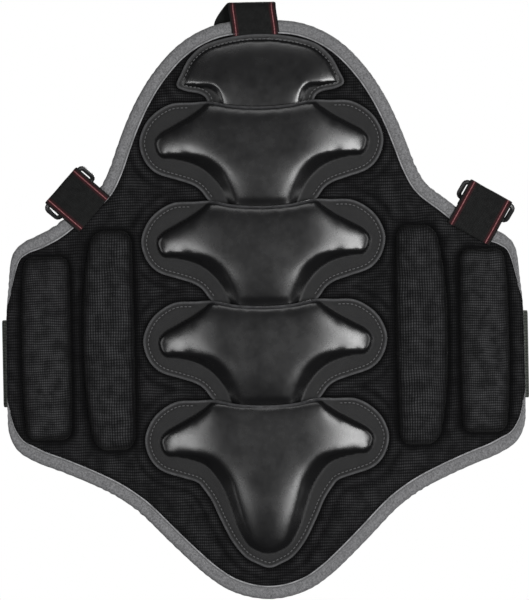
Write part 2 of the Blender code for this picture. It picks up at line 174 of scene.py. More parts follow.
def unit(vectors):
    """Each row scaled to length 1."""
    return vectors / np.linalg.norm(vectors, axis=1)[:, None]


def inwards(line):
    """Direction into the outline at each point of its right half; the ends stay on the spine."""
    tangent = unit(np.gradient(line, axis=0))
    tangent[0], tangent[-1] = (1, 0), (-1, 0)
    return np.column_stack((tangent[:, 1], -tangent[:, 0]))


def inset(line, width):
    """The right half of an outline moved inwards by one width or by one for each point."""
    return line + inwards(line) * np.reshape(width, (-1, 1))


def run_along(line):
    """Distance of each point from the start of a line."""
    steps = np.linalg.norm(np.diff(line, axis=0), axis=1)
    return np.concatenate(([0], np.cumsum(steps)))


def even(line, spacing):
    """The line again with points about one spacing apart."""
    run = run_along(line)
    at = np.linspace(0, run[-1], max(2, round(run[-1] / spacing) + 1))
    return follow(line, run, at)


def follow(line, run, at):
    """Points of a line at given distances from its start."""
    return np.column_stack([np.interp(at, run, line[:, k]) for k in range(line.shape[1])])


def even_loop(loop, spacing):
    """A closed outline again with points about one spacing apart."""
    return even(np.vstack((loop, loop[:1])), spacing)[:-1]


def closed(half):
    """A closed outline from its right half, which runs from top to bottom."""
    left = half[::-1].copy()
    left[:, 0] *= -1
    keep = left[:, 0] < -1e-6
    return np.vstack((half, left[keep]))


def distance(points, loop, values=None):
    """Distance of each point from a closed loop, and the loop's values at the nearest place."""
    start, end = loop[:, :2], np.roll(loop[:, :2], -1, axis=0)
    step = end - start
    length2 = np.maximum((step**2).sum(1), 1e-12)
    gaps, found = [], []
    for block in np.array_split(points, max(1, len(points) // 3000)):
        offset = block[:, None] - start
        t = np.clip((offset * step).sum(2) / length2, 0, 1)
        gap = np.linalg.norm(offset - t[..., None] * step, axis=2)
        near = gap.argmin(1)
        rows = np.arange(len(block))
        gaps.append(gap[rows, near])
        if values is not None:
            share = t[rows, near]
            after = np.roll(values, -1)
            found.append(values[near] * (1 - share) + after[near] * share)
    gaps = np.concatenate(gaps)
    return gaps if values is None else (gaps, np.concatenate(found))


def inside(points, loop):
    """True for each point that lies in a closed loop."""
    x0, z0 = loop[:, 0], loop[:, 1]
    x1, z1 = np.roll(x0, -1), np.roll(z0, -1)
    result = []
    for block in np.array_split(points, max(1, len(points) // 3000)):
        x, z = block[:, :1], block[:, 1:2]
        spans = (z0 > z) != (z1 > z)
        rise = np.where(z1 == z0, 1.0, z1 - z0)
        crossing = x0 + (z - z0) / rise * (x1 - x0)
        result.append((spans & (x < crossing)).sum(1) % 2 == 1)
    return np.concatenate(result)


def signed(points, loop):
    """Distance from a closed loop, positive inside it."""
    return np.where(inside(points, loop), 1.0, -1.0) * distance(points, loop)


def rounded(x0, x1, z0, z1, radius, steps=6):
    """A rectangle with round corners."""
    out = []
    for x, z, start in ((x1, z1, 0), (x0, z1, 90), (x0, z0, 180), (x1, z0, 270)):
        cx = x - radius if x == x1 else x + radius
        cz = z - radius if z == z1 else z + radius
        for turn in np.radians(np.linspace(start, start + 90, steps + 1)):
            out.append((cx + radius * math.cos(turn), cz + radius * math.sin(turn)))
    return np.array(out)


def smoothstep(t):
    """Rises from 0 to 1 with level ends."""
    t = np.clip(t, 0, 1)
    return t * t * (3 - 2 * t)


def soft_maximum(a, b, radius):
    """The larger of two heights, with the crease between them rounded."""
    return (a + b + np.sqrt((a - b) ** 2 + radius**2)) / 2


def ease(t):
    """Rises quickly from 0 and flattens towards 1, as padding does beside a seam."""
    return 1 - np.exp(-np.maximum(t, 0))


def waves(x, z, seed, size):
    """Smooth irregular relief between about -1 and 1, with features of the given size."""
    rng = np.random.default_rng(seed)
    total = np.zeros_like(x)
    for _ in range(7):
        turn, phase = rng.uniform(0, 2 * math.pi, 2)
        pitch = size * rng.uniform(0.7, 1.6)
        total += np.sin((x * math.cos(turn) + z * math.sin(turn)) * 2 * math.pi / pitch + phase)
    return total / 4


# ---- making pieces ----
def make(name, verts, faces, look, fields=None):
    """A mesh object from points in millimetres, with its material and per-point fields."""
    data = bpy.data.meshes.new(name)
    data.from_pydata((np.asarray(verts, float) * MM).tolist(), [], [list(f) for f in faces])
    data.validate()
    data.shade_smooth()
    for key, values in (fields or {}).items():
        attribute = data.attributes.new(key, "FLOAT", "POINT")
        attribute.data.foreach_set("value", np.asarray(values, np.float32))
    data.materials.append(look)
    piece = bpy.data.objects.new(name, data)
    bpy.context.scene.collection.objects.link(piece)
    return piece


def grid_faces(rows, columns, around=False, flip=False):
    """Quads over a grid of points; around joins the last column to the first."""
    faces = []
    for r in range(rows - 1):
        for c in range(columns if around else columns - 1):
            d = (c + 1) % columns
            quad = (r * columns + c, r * columns + d, (r + 1) * columns + d, (r + 1) * columns + c)
            faces.append(quad[::-1] if flip else quad)
    return faces


def skirt(border, count):
    """Quads from each point of a border to the point that comes count places later."""
    return [(i, i + count, (i + 1) % border + count, (i + 1) % border) for i in range(border)]


def pad_faces(faces, count, border):
    """Faces of a pad: its top of count points, a skirt and a flat base."""
    base = tuple(range(count, count + border))
    return [tuple(f) for f in faces] + skirt(border, count) + [base]


def triangulate(loop, points):
    """Fills a closed loop with triangles through the points.
    Returns all points in x and z, and faces that look towards -Y once z is up."""
    count = len(loop)
    coords = [Vector(p) for p in loop] + [Vector(p) for p in points]
    edges = [(i, (i + 1) % count) for i in range(count)]
    flat, _, faces, *_ = delaunay_2d_cdt(coords, edges, [], 0, 1e-6, False)
    flat = np.array([tuple(p) for p in flat])
    faces = np.array(faces)
    faces = faces[inside(flat[faces].mean(1), loop)]
    corner = flat[faces[:, 0]]
    one, other = flat[faces[:, 1]] - corner, flat[faces[:, 2]] - corner
    turned = one[:, 0] * other[:, 1] - one[:, 1] * other[:, 0] < 0
    faces[turned] = faces[turned][:, ::-1]
    return flat, faces


def fill(loop, spacing_x, spacing_z, margin):
    """Points of a regular grid that lie inside a closed loop by more than a margin."""
    spacing = np.array((spacing_x, spacing_z))
    low, high = np.floor(loop.min(0) / spacing), np.ceil(loop.max(0) / spacing)
    x, z = (np.arange(a, b + 1) * pitch for a, b, pitch in zip(low, high, spacing))
    grid = np.array([(a, b) for b in z for a in x])
    return grid[signed(grid, loop) > margin]


def bend(piece, section):
    """Bakes a piece's transform into its mesh; the section makes no difference."""
    if section == "tail":
        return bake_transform(piece)
    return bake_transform(piece)


# ---- materials ----
class Look:
    """One procedural material, built up from nodes. Patterns are worked out in metres."""

    def __init__(self, name, **settings):
        self.material = bpy.data.materials.new(name)
        self.material.use_nodes = True
        self.tree = self.material.node_tree
        self.shader = self.tree.nodes["Principled BSDF"]
        for key, value in settings.items():
            self.shader.inputs[key.replace("_", " ")].default_value = value
        self.place = self.tree.nodes.new("ShaderNodeTexCoord").outputs["Object"]

    def node(self, kind, inputs=(), output=0, **settings):
        """Adds a node and gives one output; each input is a value, a colour or a socket."""
        made = self.tree.nodes.new(kind)
        for key, value in settings.items():
            setattr(made, key, value)
        for key, value in dict(inputs).items():
            if isinstance(value, bpy.types.NodeSocket):
                self.tree.links.new(value, made.inputs[key])
            elif isinstance(value, tuple):
                made.inputs[key].default_value = (*value, 1.0)
            else:
                made.inputs[key].default_value = value
        return made.outputs[output]

    def math(self, operation, *values):
        """One step of arithmetic on values or sockets."""
        return self.node("ShaderNodeMath", enumerate(values), operation=operation)

    def times(self, first, second):
        return self.math("MULTIPLY", first, second)

    def line(self, value, slope, start):
        """The value times a slope, plus a start."""
        return self.math("MULTIPLY_ADD", value, slope, start)

    def crossed(self, first, first_depth, second, second_depth):
        """Two waves multiplied, each of which darkens by no more than its depth."""
        return self.times(self.line(first, first_depth, 1 - first_depth),
                          self.line(second, second_depth, 1 - second_depth))

    def field(self, name):
        """Reads a per-point field of the mesh."""
        return self.node("ShaderNodeAttribute", output="Fac", attribute_name=name)

    def axis(self, letter):
        """Distance along an axis of the frame."""
        return self.node("ShaderNodeSeparateXYZ", {0: self.place}, output=letter)

    def swing(self, value, pitch):
        """Sine of a distance, from -1 to 1 over each pitch in millimetres."""
        return self.math("SINE", self.times(value, 2 * math.pi / (pitch * MM)))

    def wave(self, value, pitch):
        """Sine of a distance, from 0 to 1 and back over each pitch in millimetres."""
        return self.line(self.swing(value, pitch), 0.5, 0.5)

    def noise(self, size, detail=2.0, roughness=0.5):
        """Noise from 0 to 1 with features of a size in millimetres."""
        inputs = {"Vector": self.place, "Scale": 1 / (size * MM), "Detail": detail,
                  "Roughness": roughness}
        return self.node("ShaderNodeTexNoise", inputs)

    def cells(self, size, feature="F1"):
        """Cell pattern with cells of a size in millimetres."""
        inputs = {"Vector": self.place, "Scale": 1 / (size * MM)}
        return self.node("ShaderNodeTexVoronoi", inputs, feature=feature)

    def between(self, value, low, high, out_low=0.0, out_high=1.0):
        """Stretches the values from low to high over out_low to out_high, and stops there."""
        inputs = {0: value, 1: low, 2: high, 3: out_low, 4: out_high}
        return self.node("ShaderNodeMapRange", inputs)

    def near(self, value, centre, reach):
        """1 where the value is at a centre, falling to 0 at the reach, both in millimetres."""
        away = self.math("ABSOLUTE", self.math("SUBTRACT", value, centre * MM))
        return self.between(away, 0.0, reach * MM, 1.0, 0.0)

    def mix(self, share, first, second):
        """Colour between two colours or sockets."""
        inputs = {0: share, 6: first, 7: second}
        return self.node("ShaderNodeMix", inputs, output=2, data_type="RGBA")

    def finish(self, colour=None, roughness=None, height=None, depth=0.2, strength=0.6):
        """Links the colour, the roughness and a bump of the given depth in millimetres."""
        if colour is not None:
            self.tree.links.new(colour, self.shader.inputs["Base Color"])
        if roughness is not None:
            self.tree.links.new(roughness, self.shader.inputs["Roughness"])
        if height is not None:
            inputs = {"Strength": strength, "Distance": depth * MM, "Height": height}
            bump = self.node("ShaderNodeBump", inputs)
            self.tree.links.new(bump, self.shader.inputs["Normal"])
        return self.material


def ribbed_fabric(name, rib_axis, rib_pitch, cross_pitch, pale):
    """Black knitted mesh with raised ribs one way and fine courses the other way, darkened by
    painted shade in its creases and hollows.
    """
    look = Look(name, Sheen_Weight=0.03, Sheen_Roughness=0.5, Specular_IOR_Level=0.06)
    drift = look.line(look.noise(22.0, 1.0), 0.003, -0.0015)
    ribs = look.wave(look.math("ADD", look.axis(rib_axis), drift), rib_pitch)
    along = look.axis("X" if rib_axis == "Z" else "Z")
    courses = look.wave(look.math("ADD", along, drift), cross_pitch)
    knit = look.crossed(ribs, 0.8, courses, 0.65)
    patches = look.between(look.noise(9.0, 3.0), 0.35, 0.7, 0.55, 1.5)
    lint = look.between(look.noise(0.9, 1.0), 0.45, 0.75)
    share = look.times(look.line(lint, 0.35, 0.75), knit)
    # painted shade: the colour sinks towards black where a per-point field marks creases and
    # hollows
    unshaded_share = look.line(look.field("painted_shade"), -0.95, 1.0)
    share = look.times(look.times(share, patches), unshaded_share)
    colour = look.mix(share, (0.0012, 0.0012, 0.0014), pale)
    roughness = look.between(knit, 0.0, 1.0, 0.95, 0.7)
    height = look.line(lint, 0.25, knit)
    return look.finish(colour, roughness, height, depth=0.45, strength=0.8)


def air_mesh():
    """Lining of spacer mesh with small holes in staggered rows."""
    look = Look("lining_air_mesh", Sheen_Weight=0.15, Specular_IOR_Level=0.25)
    rows, columns = look.swing(look.axis("Z"), 4.2), look.swing(look.axis("X"), 4.8)
    holes = look.between(look.times(rows, columns), 0.35, 0.75, 1.0, 0.0)
    threads = look.times(look.wave(look.axis("X"), 0.9), look.wave(look.axis("Z"), 0.9))
    patches = look.between(look.noise(14.0, 3.0), 0.3, 0.7, 0.75, 1.2)
    share = look.times(look.line(threads, 0.4, 0.6), holes)
    colour = look.mix(look.times(share, patches), (0.006, 0.006, 0.007),
                      (0.055, 0.056, 0.06))
    return look.finish(colour, look.between(holes, 0.0, 1.0, 1.0, 0.8), share, 0.6, 0.9)


def moulded_shell():
    """Moulded plate: smooth semi-gloss crown, leather-grained flange, paler edges that are partly
    wear and partly a painted highlight along the rim.
    """
    look = Look("moulded_shell", Specular_IOR_Level=0.55)
    crown = look.field("crown")
    grain = look.between(look.cells(1.1, "DISTANCE_TO_EDGE"), 0.0, 0.25)
    pores = look.noise(0.5, 2.0)
    clouds = look.noise(26.0, 4.0, 0.6)
    scuffs = look.between(look.noise(5.0, 2.0, 0.5), 0.35, 0.85)
    flange = look.math("SUBTRACT", 1.0, crown)
    colour = look.mix(crown, (0.0075, 0.0075, 0.0079), (0.004, 0.004, 0.0043))
    # painted highlight along the rim, partly real wear: the colour pales towards light grey there,
    # broken up by scuffs
    rim_wear_and_highlight = look.times(look.field("edge"), look.between(scuffs, 0.0, 1.0, 0.45, 1.0))
    colour = look.mix(look.times(rim_wear_and_highlight, 0.8), colour, (0.12, 0.12, 0.125))
    # painted shade in the stitch groove: the colour darkens to near black along it
    colour = look.mix(look.times(look.field("groove"), 0.95), colour,
                      (0.002, 0.002, 0.002))
    smooth = look.between(clouds, 0.3, 0.7, 0.22, 0.29)
    rough = look.line(flange, 0.6, smooth)
    rough = look.line(scuffs, 0.03, rough)
    relief = look.times(look.line(pores, 0.3, grain), flange)
    relief = look.line(look.noise(1.3, 1.0), 0.02, relief)
    return look.finish(colour, rough, relief, depth=0.25, strength=0.6)


def edge_tape():
    """Grey woven binding: slanted yarns, mottled, with a pale piped inner edge."""
    look = Look("edge_tape", Sheen_Weight=0.25, Sheen_Roughness=0.4, Specular_IOR_Level=0.3)
    along, across = look.field("along"), look.field("across")
    slant = look.wave(look.line(along, 0.8, across), 1.1)
    counter = look.wave(look.line(along, -0.8, across), 1.5)
    weave = look.crossed(slant, 0.6, counter, 0.5)
    mottle = look.between(look.noise(1.3, 3.0, 0.7), 0.3, 0.7, 0.0, 1.0)
    worn = look.between(look.noise(7.0, 3.0, 0.6), 0.35, 0.65, 0.0, 1.0)
    share = look.line(weave, 0.4, look.times(mottle, 0.7))
    colour = look.mix(share, (0.03, 0.03, 0.031), (0.22, 0.22, 0.226))
    piping = look.times(look.field("piping"), look.line(worn, 0.7, 0.15))
    colour = look.mix(piping, colour, (0.36, 0.36, 0.37))
    colour = look.mix(look.times(look.field("seam"), 0.75), colour, (0.06, 0.06, 0.06))
    return look.finish(colour, look.between(weave, 0.0, 1.0, 0.9, 0.7), weave, 0.3, 0.6)


def webbing(name, base, pale, lines):
    """Woven strap: herringbone ribs along it, and optionally a red line along each side."""
    look = Look(name, Sheen_Weight=0.04, Specular_IOR_Level=0.15)
    along, across = look.field("along"), look.field("across")
    folded = look.math("ABSOLUTE", across)
    zigzag = look.math("ABSOLUTE", look.math("SUBTRACT", look.wave(across, 4.2), 0.5))
    ribs = look.wave(look.line(zigzag, 0.003, along), 1.25)
    yarns = look.wave(across, 1.05)
    weave = look.crossed(ribs, 0.65, yarns, 0.5)
    patches = look.between(look.noise(4.0, 3.0), 0.3, 0.7, 0.45, 1.35)
    worn = look.between(look.noise(1.4, 2.0), 0.35, 0.65, 0.45, 1.0)
    colour = look.mix(look.times(weave, patches), base, pale)
    if lines:
        line_at = WEBBING_W / 2 - 3.6
        shown = look.math("GREATER_THAN", look.field("face"), 0.5)
        dark = look.times(look.near(folded, line_at, 2.8), shown)
        colour = look.mix(look.times(dark, 0.8), colour, (0.045, 0.004, 0.007))
        bright = look.between(look.near(folded, line_at, 0.75), 0.3, 0.7)
        bright = look.times(bright, worn)
        red = look.mix(ribs, (0.10, 0.016, 0.02), (0.27, 0.085, 0.095))
        colour = look.mix(look.times(bright, shown), colour, red)
        core = look.times(look.near(folded, line_at, 0.5), look.times(worn, shown))
        colour = look.mix(look.times(core, ribs), colour, (0.42, 0.22, 0.22))
    return look.finish(colour, look.between(weave, 0.0, 1.0, 0.9, 0.65), weave, 0.35, 0.8)


def elastic_belt():
    """Wide elastic with horizontal cords and a fine rib."""
    look = Look("belt_elastic", Sheen_Weight=0.2, Specular_IOR_Level=0.25)
    cords = look.wave(look.axis("Z"), 2.4)
    rib = look.wave(look.field("along"), 1.3)
    weave = look.crossed(cords, 0.7, rib, 0.4)
    patches = look.between(look.noise(8.0, 3.0), 0.3, 0.7, 0.8, 1.15)
    colour = look.mix(look.times(weave, patches), (0.012, 0.014, 0.012),
                      (0.075, 0.082, 0.07))
    return look.finish(colour, look.between(weave, 0.0, 1.0, 0.95, 0.75), weave, 0.4, 0.8)


def pile_fabric(name, size, pale):
    """Hook or loop tape: dense short pile."""
    look = Look(name, Sheen_Weight=0.3, Specular_IOR_Level=0.2)
    tufts = look.between(look.cells(size), 0.1, 0.7, 1.0, 0.0)
    fuzz = look.noise(0.4, 3.0, 0.7)
    share = look.times(tufts, look.line(fuzz, 0.6, 0.5))
    colour = look.mix(share, (0.006, 0.006, 0.006), pale)
    return look.finish(colour, look.between(share, 0.0, 1.0, 1.0, 0.85), share, 0.7, 0.9)


def moulded_plastic():
    """Black moulded hardware with a faint grain and rubbed edges."""
    look = Look("hardware_plastic", Specular_IOR_Level=0.5)
    grain = look.noise(0.35, 2.0)
    rub = look.between(look.noise(4.0, 4.0, 0.7), 0.5, 0.75)
    colour = look.mix(look.times(rub, 0.5), (0.010, 0.010, 0.0105), (0.032, 0.032, 0.034))
    rough = look.line(rub, 0.18, look.between(grain, 0.3, 0.7, 0.34, 0.44))
    return look.finish(colour, rough, grain, depth=0.05, strength=0.4)


def thread(name, pale):
    """Twisted sewing thread."""
    look = Look(name, Sheen_Weight=0.1, Specular_IOR_Level=0.4)
    diagonal = look.math("ADD", look.axis("X"), look.axis("Z"))
    twist = look.wave(diagonal, 0.55)
    dark = tuple(0.25 * c for c in pale)
    colour = look.mix(look.line(twist, 0.7, 0.3), dark, pale)
    return look.finish(colour, look.between(twist, 0.0, 1.0, 0.7, 0.5), twist, 0.1, 0.5)


LOOKS = {
    "cover": ribbed_fabric("cover_mesh", "Z", 2.3, 1.7, (0.029, 0.029, 0.0303)),
    "cushion_outer": ribbed_fabric("cushion_outer_mesh", "Z", 2.0, 1.7, (0.052, 0.052, 0.054)),
    "cushion_inner": ribbed_fabric("cushion_inner_mesh", "X", 2.0, 2.3, (0.045, 0.045, 0.047)),
    "lining": air_mesh(),
    "shell": moulded_shell(),
    "tape": edge_tape(),
    "loop": webbing("webbing_red_line", (0.0013, 0.0014, 0.0014), (0.0105, 0.011, 0.0108), True),
    "webbing": webbing("webbing_plain", (0.003, 0.003, 0.003), (0.028, 0.028, 0.03), False),
    "belt": elastic_belt(),
    "hook": pile_fabric("hook_tape", 1.2, (0.05, 0.05, 0.055)),
    "pile": pile_fabric("loop_tape", 0.7, (0.085, 0.085, 0.09)),
    "plastic": moulded_plastic(),
    "thread": thread("thread_black", (0.1, 0.1, 0.103)),
}


# ---- plates ----
RASTER = 0.8  # pitch of the grid that a plate's relief is worked out on
RIM_MARGIN = 4.0  # how far that grid reaches past the rim
CROWN_SOFTNESS, FLANGE_SOFTNESS = 0.75, 0.7  # blur of the two surfaces
ARCH = 0.009  # curvature of the whole crown
ARCH_ROUNDS, PILLOW_ROUNDS = 900, 250  # until the crown has settled
ARM_FROM, ARM_SPAN = 30.0, 55.0  # the arms fall away from the spine between these distances
STITCH_INSET, STITCH_PITCH, STITCH_FILL, STITCH_R = 4.2, 3.3, 0.7, 0.5
STITCH_PROFILE = ((-0.5, 0.25), (-0.36, 0.8), (0.0, 1.0), (0.36, 0.8), (0.5, 0.25))
STITCH_SIDES = 6
FLANGE_T = 2.3
FLANGE_LOOPS = (0.45, 0.9, 1.5, 2.3, 3.2, 4.2, 5.2)  # lines of points inside the rim
RIM_SPACING, PLATE_SPACING = 1.3, 1.5  # between the points of the mesh


class Relief:
    """Height of a plate over the cover, worked out on a grid over its right half.
    pillow and reach: how far the padded crown rises, and over what distance from its edge;
    arm_fall: how far the arms' ends fall away; flat_below: under this z the crown is left flat,
    because the next plate lies on it."""

    def __init__(self, stations, pillow, reach, arm_fall, flat_below):
        self.pillow = pillow
        self.reach = reach
        self.flat_below = flat_below
        rings = [smooth_line([s[k] for s in stations], 8) for k in range(3)]
        self.rim = rings[2]
        low = self.rim.min(0)[:2] - RIM_MARGIN
        high = self.rim.max(0)[:2] + RIM_MARGIN
        self.x = np.arange(0, high[0], RASTER)
        self.z = np.arange(low[1], high[1], RASTER)
        depth, height = self.measure(rings)
        bead = 0.45 * np.exp(-(((depth[1] + 1.1) / 0.9) ** 2)) * (depth[0] < -3)
        flange = self.blur(self.flange(depth, height) + bead, FLANGE_SOFTNESS / RASTER)
        fall = arm_fall * smoothstep((self.x - ARM_FROM) / ARM_SPAN)
        bump = self.dome(self.wall(depth, height), depth[0]) - fall
        bump = self.blur(bump, CROWN_SOFTNESS / RASTER)
        self.height = soft_maximum(flange, bump, 0.35)
        self.crown_share = smoothstep((bump - flange + 0.4) / 1.6)

    def measure(self, rings):
        """For each grid point, its depth inside the crown's edge, the foot and the rim, and the
        nearest height of each."""
        across, up = np.meshgrid(self.x, self.z)
        points = np.column_stack((across.ravel(), up.ravel()))
        depth, height = [], []
        for ring in rings:
            loop = closed(ring)
            gap, value = distance(points, loop, loop[:, 2])
            depth.append(np.where(inside(points, loop), gap, -gap).reshape(across.shape))
            height.append(value.reshape(across.shape))
        return depth, height

    @staticmethod
    def flange(depth, height):
        """The flat border between the rim and the foot of the wall, carried on underneath."""
        share = np.clip(depth[2] / np.maximum(depth[2] - depth[1], 1e-6), 0, 1)
        return height[2] * (1 - share) + height[1] * share

    @staticmethod
    def wall(depth, height):
        """The steep wall between foot and crown, carried on below the flange."""
        share = np.clip(depth[1] / np.maximum(depth[1] - depth[0], 1e-6), -1.2, 1)
        share = np.where(depth[1] < 0, depth[1] / 3.0, share)
        return np.maximum(height[1] + (height[0] - height[1]) * share, height[1] - 5)

    @staticmethod
    def spread(field, free, lift, rounds, keep=1.0):
        """Lets a field settle over its free cells, each the mean of its neighbours plus a lift."""
        start = np.where(free, field[free].mean(), field)
        for _ in range(rounds):
            wide = np.pad(start, 1, mode="edge")
            wide[1:-1, 0] = start[:, 1]
            mean = (wide[:-2, 1:-1] + wide[2:, 1:-1] + wide[1:-1, :-2] + wide[1:-1, 2:]) / 4
            start = np.where(free, (mean + lift) * keep, field)
        return start

    def dome(self, height, depth):
        """A taut skin over the crown, with a gentle arch and a padded edge."""
        free = depth > 0
        cell = RASTER**2 / 4
        lift = ARCH * cell * self.above(self.flat_below, 25)
        arch = self.spread(height, free, lift, ARCH_ROUNDS)
        lift = self.pillow * cell / self.reach**2
        keep = 1 / (1 + cell / self.reach**2)
        pillow = self.spread(np.zeros_like(height), free, lift, PILLOW_ROUNDS, keep)
        return arch + pillow * self.above(self.flat_below - 2, 6)

    def above(self, level, width):
        """A share that rises from 0 at a level to 1 over a width, row by row."""
        return smoothstep((self.z - level) / width)[:, None]

    @staticmethod
    def blur(field, sigma):
        """Gaussian blur of the right half, mirrored over the spine; sigma is in grid steps."""
        reach = int(3 * sigma) + 1
        kernel = np.exp(-0.5 * (np.arange(-reach, reach + 1) / sigma) ** 2)
        kernel /= kernel.sum()
        wide = np.pad(field, ((reach, reach), (0, reach)), mode="edge")
        wide = np.hstack((wide[:, reach:0:-1], wide))
        rows = np.apply_along_axis(np.convolve, 0, wide, kernel, mode="valid")
        return np.apply_along_axis(np.convolve, 1, rows, kernel, mode="valid")

    def sample(self, field, points):
        """Reads a field at points, mirrored over the spine."""
        u = np.clip(np.abs(points[:, 0]) / RASTER, 0, len(self.x) - 1.001)
        v = np.clip((points[:, 1] - self.z[0]) / RASTER, 0, len(self.z) - 1.001)
        i, j = u.astype(int), v.astype(int)
        s, t = u - i, v - j
        low = field[j, i] * (1 - s) + field[j, i + 1] * s
        high = field[j + 1, i] * (1 - s) + field[j + 1, i + 1] * s
        return low * (1 - t) + high * t


RELIEFS = {
    "neck": Relief(CAP, 1.0, 6.0, 0.0, -48.0),
    "wing": Relief(WING_TOP + WING_STEM, 1.7, 5.0, 2.6, -48.0),
    "tail": Relief(WING_TOP + TAIL_STEM, 1.1, 3.6, 2.6, -160.0),
}


def relief_of(row):
    """The three middle plates share one relief."""
    return RELIEFS.get(row, RELIEFS["wing"])


def flange_loop(relief, depth, spacing):
    """Closed line at a distance inside the plate's rim."""
    half = inset(relief.rim[:, :2], depth)
    half = half[half[:, 0] >= 0]
    return closed(even(half, spacing))


def sewn(relief, points):
    """1 where the flange lies on the cover and is sewn, 0 where a lip or stem end stands clear."""
    x, z = np.abs(points[:, 0]), points[:, 1]
    if relief is RELIEFS["neck"]:
        return smoothstep((z + 16) / 4)
    lip = smoothstep((x - 52) / 8) + smoothstep((10 - z) / 6)
    stem = 1 if relief is RELIEFS["tail"] else smoothstep((z + 46) / 5)
    return np.clip(lip, 0, 1) * stem


def plate_height(relief, points):
    """Height of the plate's outer face, with its stitch groove and rounded rim."""
    rim = distance(points, closed(relief.rim[:, :2]))
    height = relief.sample(relief.height, points)
    groove = np.exp(-((rim - STITCH_INSET) / 1.0) ** 2) * sewn(relief, points)
    bead = np.exp(-((rim - 1.4) / 0.9) ** 2) * sewn(relief, points)
    edge = np.clip(1 - rim / 0.9, 0, 1) ** 2
    return height - 0.8 * groove + 0.35 * bead - 0.6 * edge, rim, groove


def plate(row):
    """A moulded plate with its flange, as a closed shell over the cover."""
    relief = relief_of(row)
    loops = [closed(even(relief.rim[:, :2], RIM_SPACING))]
    loops += [flange_loop(relief, depth, PLATE_SPACING) for depth in FLANGE_LOOPS]
    loops.append(fill(loops[0], PLATE_SPACING, PLATE_SPACING, 6.0))
    flat, faces = triangulate(loops[0], np.vstack(loops[1:]))
    height, rim, groove = plate_height(relief, flat)
    count, border = len(flat), len(loops[0])
    x, z = flat[:, 0], flat[:, 1] + PLATE_Z[row]
    top = np.column_stack((x, FACE - GAP - height, z))
    under = np.column_stack((x, FACE - GAP - np.maximum(height - FLANGE_T, 0.1), z))
    everything = [tuple(f) for f in faces] + [tuple(f[::-1] + count) for f in faces]
    everything += skirt(border, count)
    crown = relief.sample(relief.crown_share, flat)
    # edge field: a painted highlight along the rim, partly real wear, which pales the shell's
    # colour
    worn = np.exp(-((rim - 1.0) / 0.7) ** 2)
    # groove field: painted shade in the stitch groove, which darkens the shell's colour there
    fields = {"crown": np.tile(crown, 2), "edge": np.tile(worn, 2), "groove": np.tile(groove, 2)}
    piece = make(f"plate_{row}_shell", np.vstack((top, under)), everything, LOOKS["shell"],
                 fields)
    sharpen(piece, count, border)
    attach(piece, row)
    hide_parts(f"plate_{row}", f"plate_insert_{row}")
    plate_stitches(row, relief)


def sharpen(piece, first, border):
    """Keeps a closed border of edges crisp under smooth shading."""
    wanted = {tuple(sorted((first + i, first + (i + 1) % border))) for i in range(border)}
    for edge in piece.data.edges:
        if tuple(sorted(edge.vertices)) in wanted:
            edge.use_edge_sharp = True


def stitch_row(name, path):
    """Sewn stitches along a path of (x, y, z); each is a short rounded bead of thread."""
    run = run_along(path)
    count = max(2, int(run[-1] / STITCH_PITCH))
    centres = (np.arange(count) + 0.5) * run[-1] / count
    at = follow(path, run, centres)
    tangent = unit(follow(path, run, centres + 0.3) - follow(path, run, centres - 0.3))
    side = unit(np.cross(tangent, (0.0, -1.0, 0.0)))
    up = np.cross(side, tangent)
    share, scale = np.array(STITCH_PROFILE).T
    turns = np.linspace(0, 2 * math.pi, STITCH_SIDES, endpoint=False)
    lengthways = np.repeat(share * run[-1] / count * STITCH_FILL, STITCH_SIDES)
    sideways = np.outer(scale, np.cos(turns)).ravel() * STITCH_R
    upward = np.outer(scale, np.sin(turns)).ravel() * STITCH_R
    verts = (at[:, None] + tangent[:, None] * lengthways[:, None]
             + side[:, None] * sideways[:, None] + up[:, None] * upward[:, None])
    size = len(lengthways)
    bead = grid_faces(len(share), STITCH_SIDES, around=True)
    bead += [tuple(range(STITCH_SIDES - 1, -1, -1)), tuple(range(size - STITCH_SIDES, size))]
    faces = [tuple(i + k * size for i in f) for k in range(count) for f in bead]
    return make(name, verts.reshape(-1, 3), faces, LOOKS["thread"])


def plate_stitches(row, relief):
    """A row of stitches along each stretch of the flange that is sewn down."""
    loop = flange_loop(relief, STITCH_INSET, PLATE_SPACING)
    keep = sewn(relief, loop) > 0.6
    start = int(np.argmin(keep)) if not keep.all() else 0
    loop, keep = np.roll(loop, -start, axis=0), np.roll(keep, -start)
    parts = np.split(np.arange(len(loop)), np.flatnonzero(np.diff(keep)) + 1)
    parts = [part for part in parts if keep[part[0]] and len(part) > 4]
    for number, part in enumerate(parts):
        height = plate_height(relief, loop[part])[0]
        path = np.column_stack((loop[part, 0], FACE - GAP - height - 0.05,
                                loop[part, 1] + PLATE_Z[row]))
        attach(stitch_row(f"plate_{row}_stitches_{number}", path), row)


# ---- cover and lining ----
# Visible width of the tape beside the belt: the edge curls back there, under the cover.
CURLED_EDGE = ((-75, BINDING_W), (-55, 6.5), (-36, 1.5), (-28, 0.0), (44, 0.0), (62, 3.0),
               (84, 7.0), (102, BINDING_W))
WING_X = 150.0  # the panel's wings beside the belt lie outside this x
FABRIC_INSET, TUCK_REACH = 1.3, 0.9  # fabric ends inside the edge, less so where it is tucked
COVER_SPACING, LINING_SPACING = 2.2, 3.0  # between the points of the mesh
COVER_RISE, LINING_SINK = 4.2, 1.1  # how far the padding stands out, and seams sink in behind
SEAM_OFFSET, SEAM_DEPTH = 9.5, 2.1  # a sewn valley follows the plates at this distance
CUSHION_TAPER = {"inner": 9.0, "outer": 3.5}  # how much narrower a cushion's ends are


def front_width(edge):
    """Width of the edge tape that shows in front."""
    width = np.interp(edge[:, 1], *zip(*CURLED_EDGE))
    return np.where(edge[:, 0] > WING_X, width, BINDING_W)


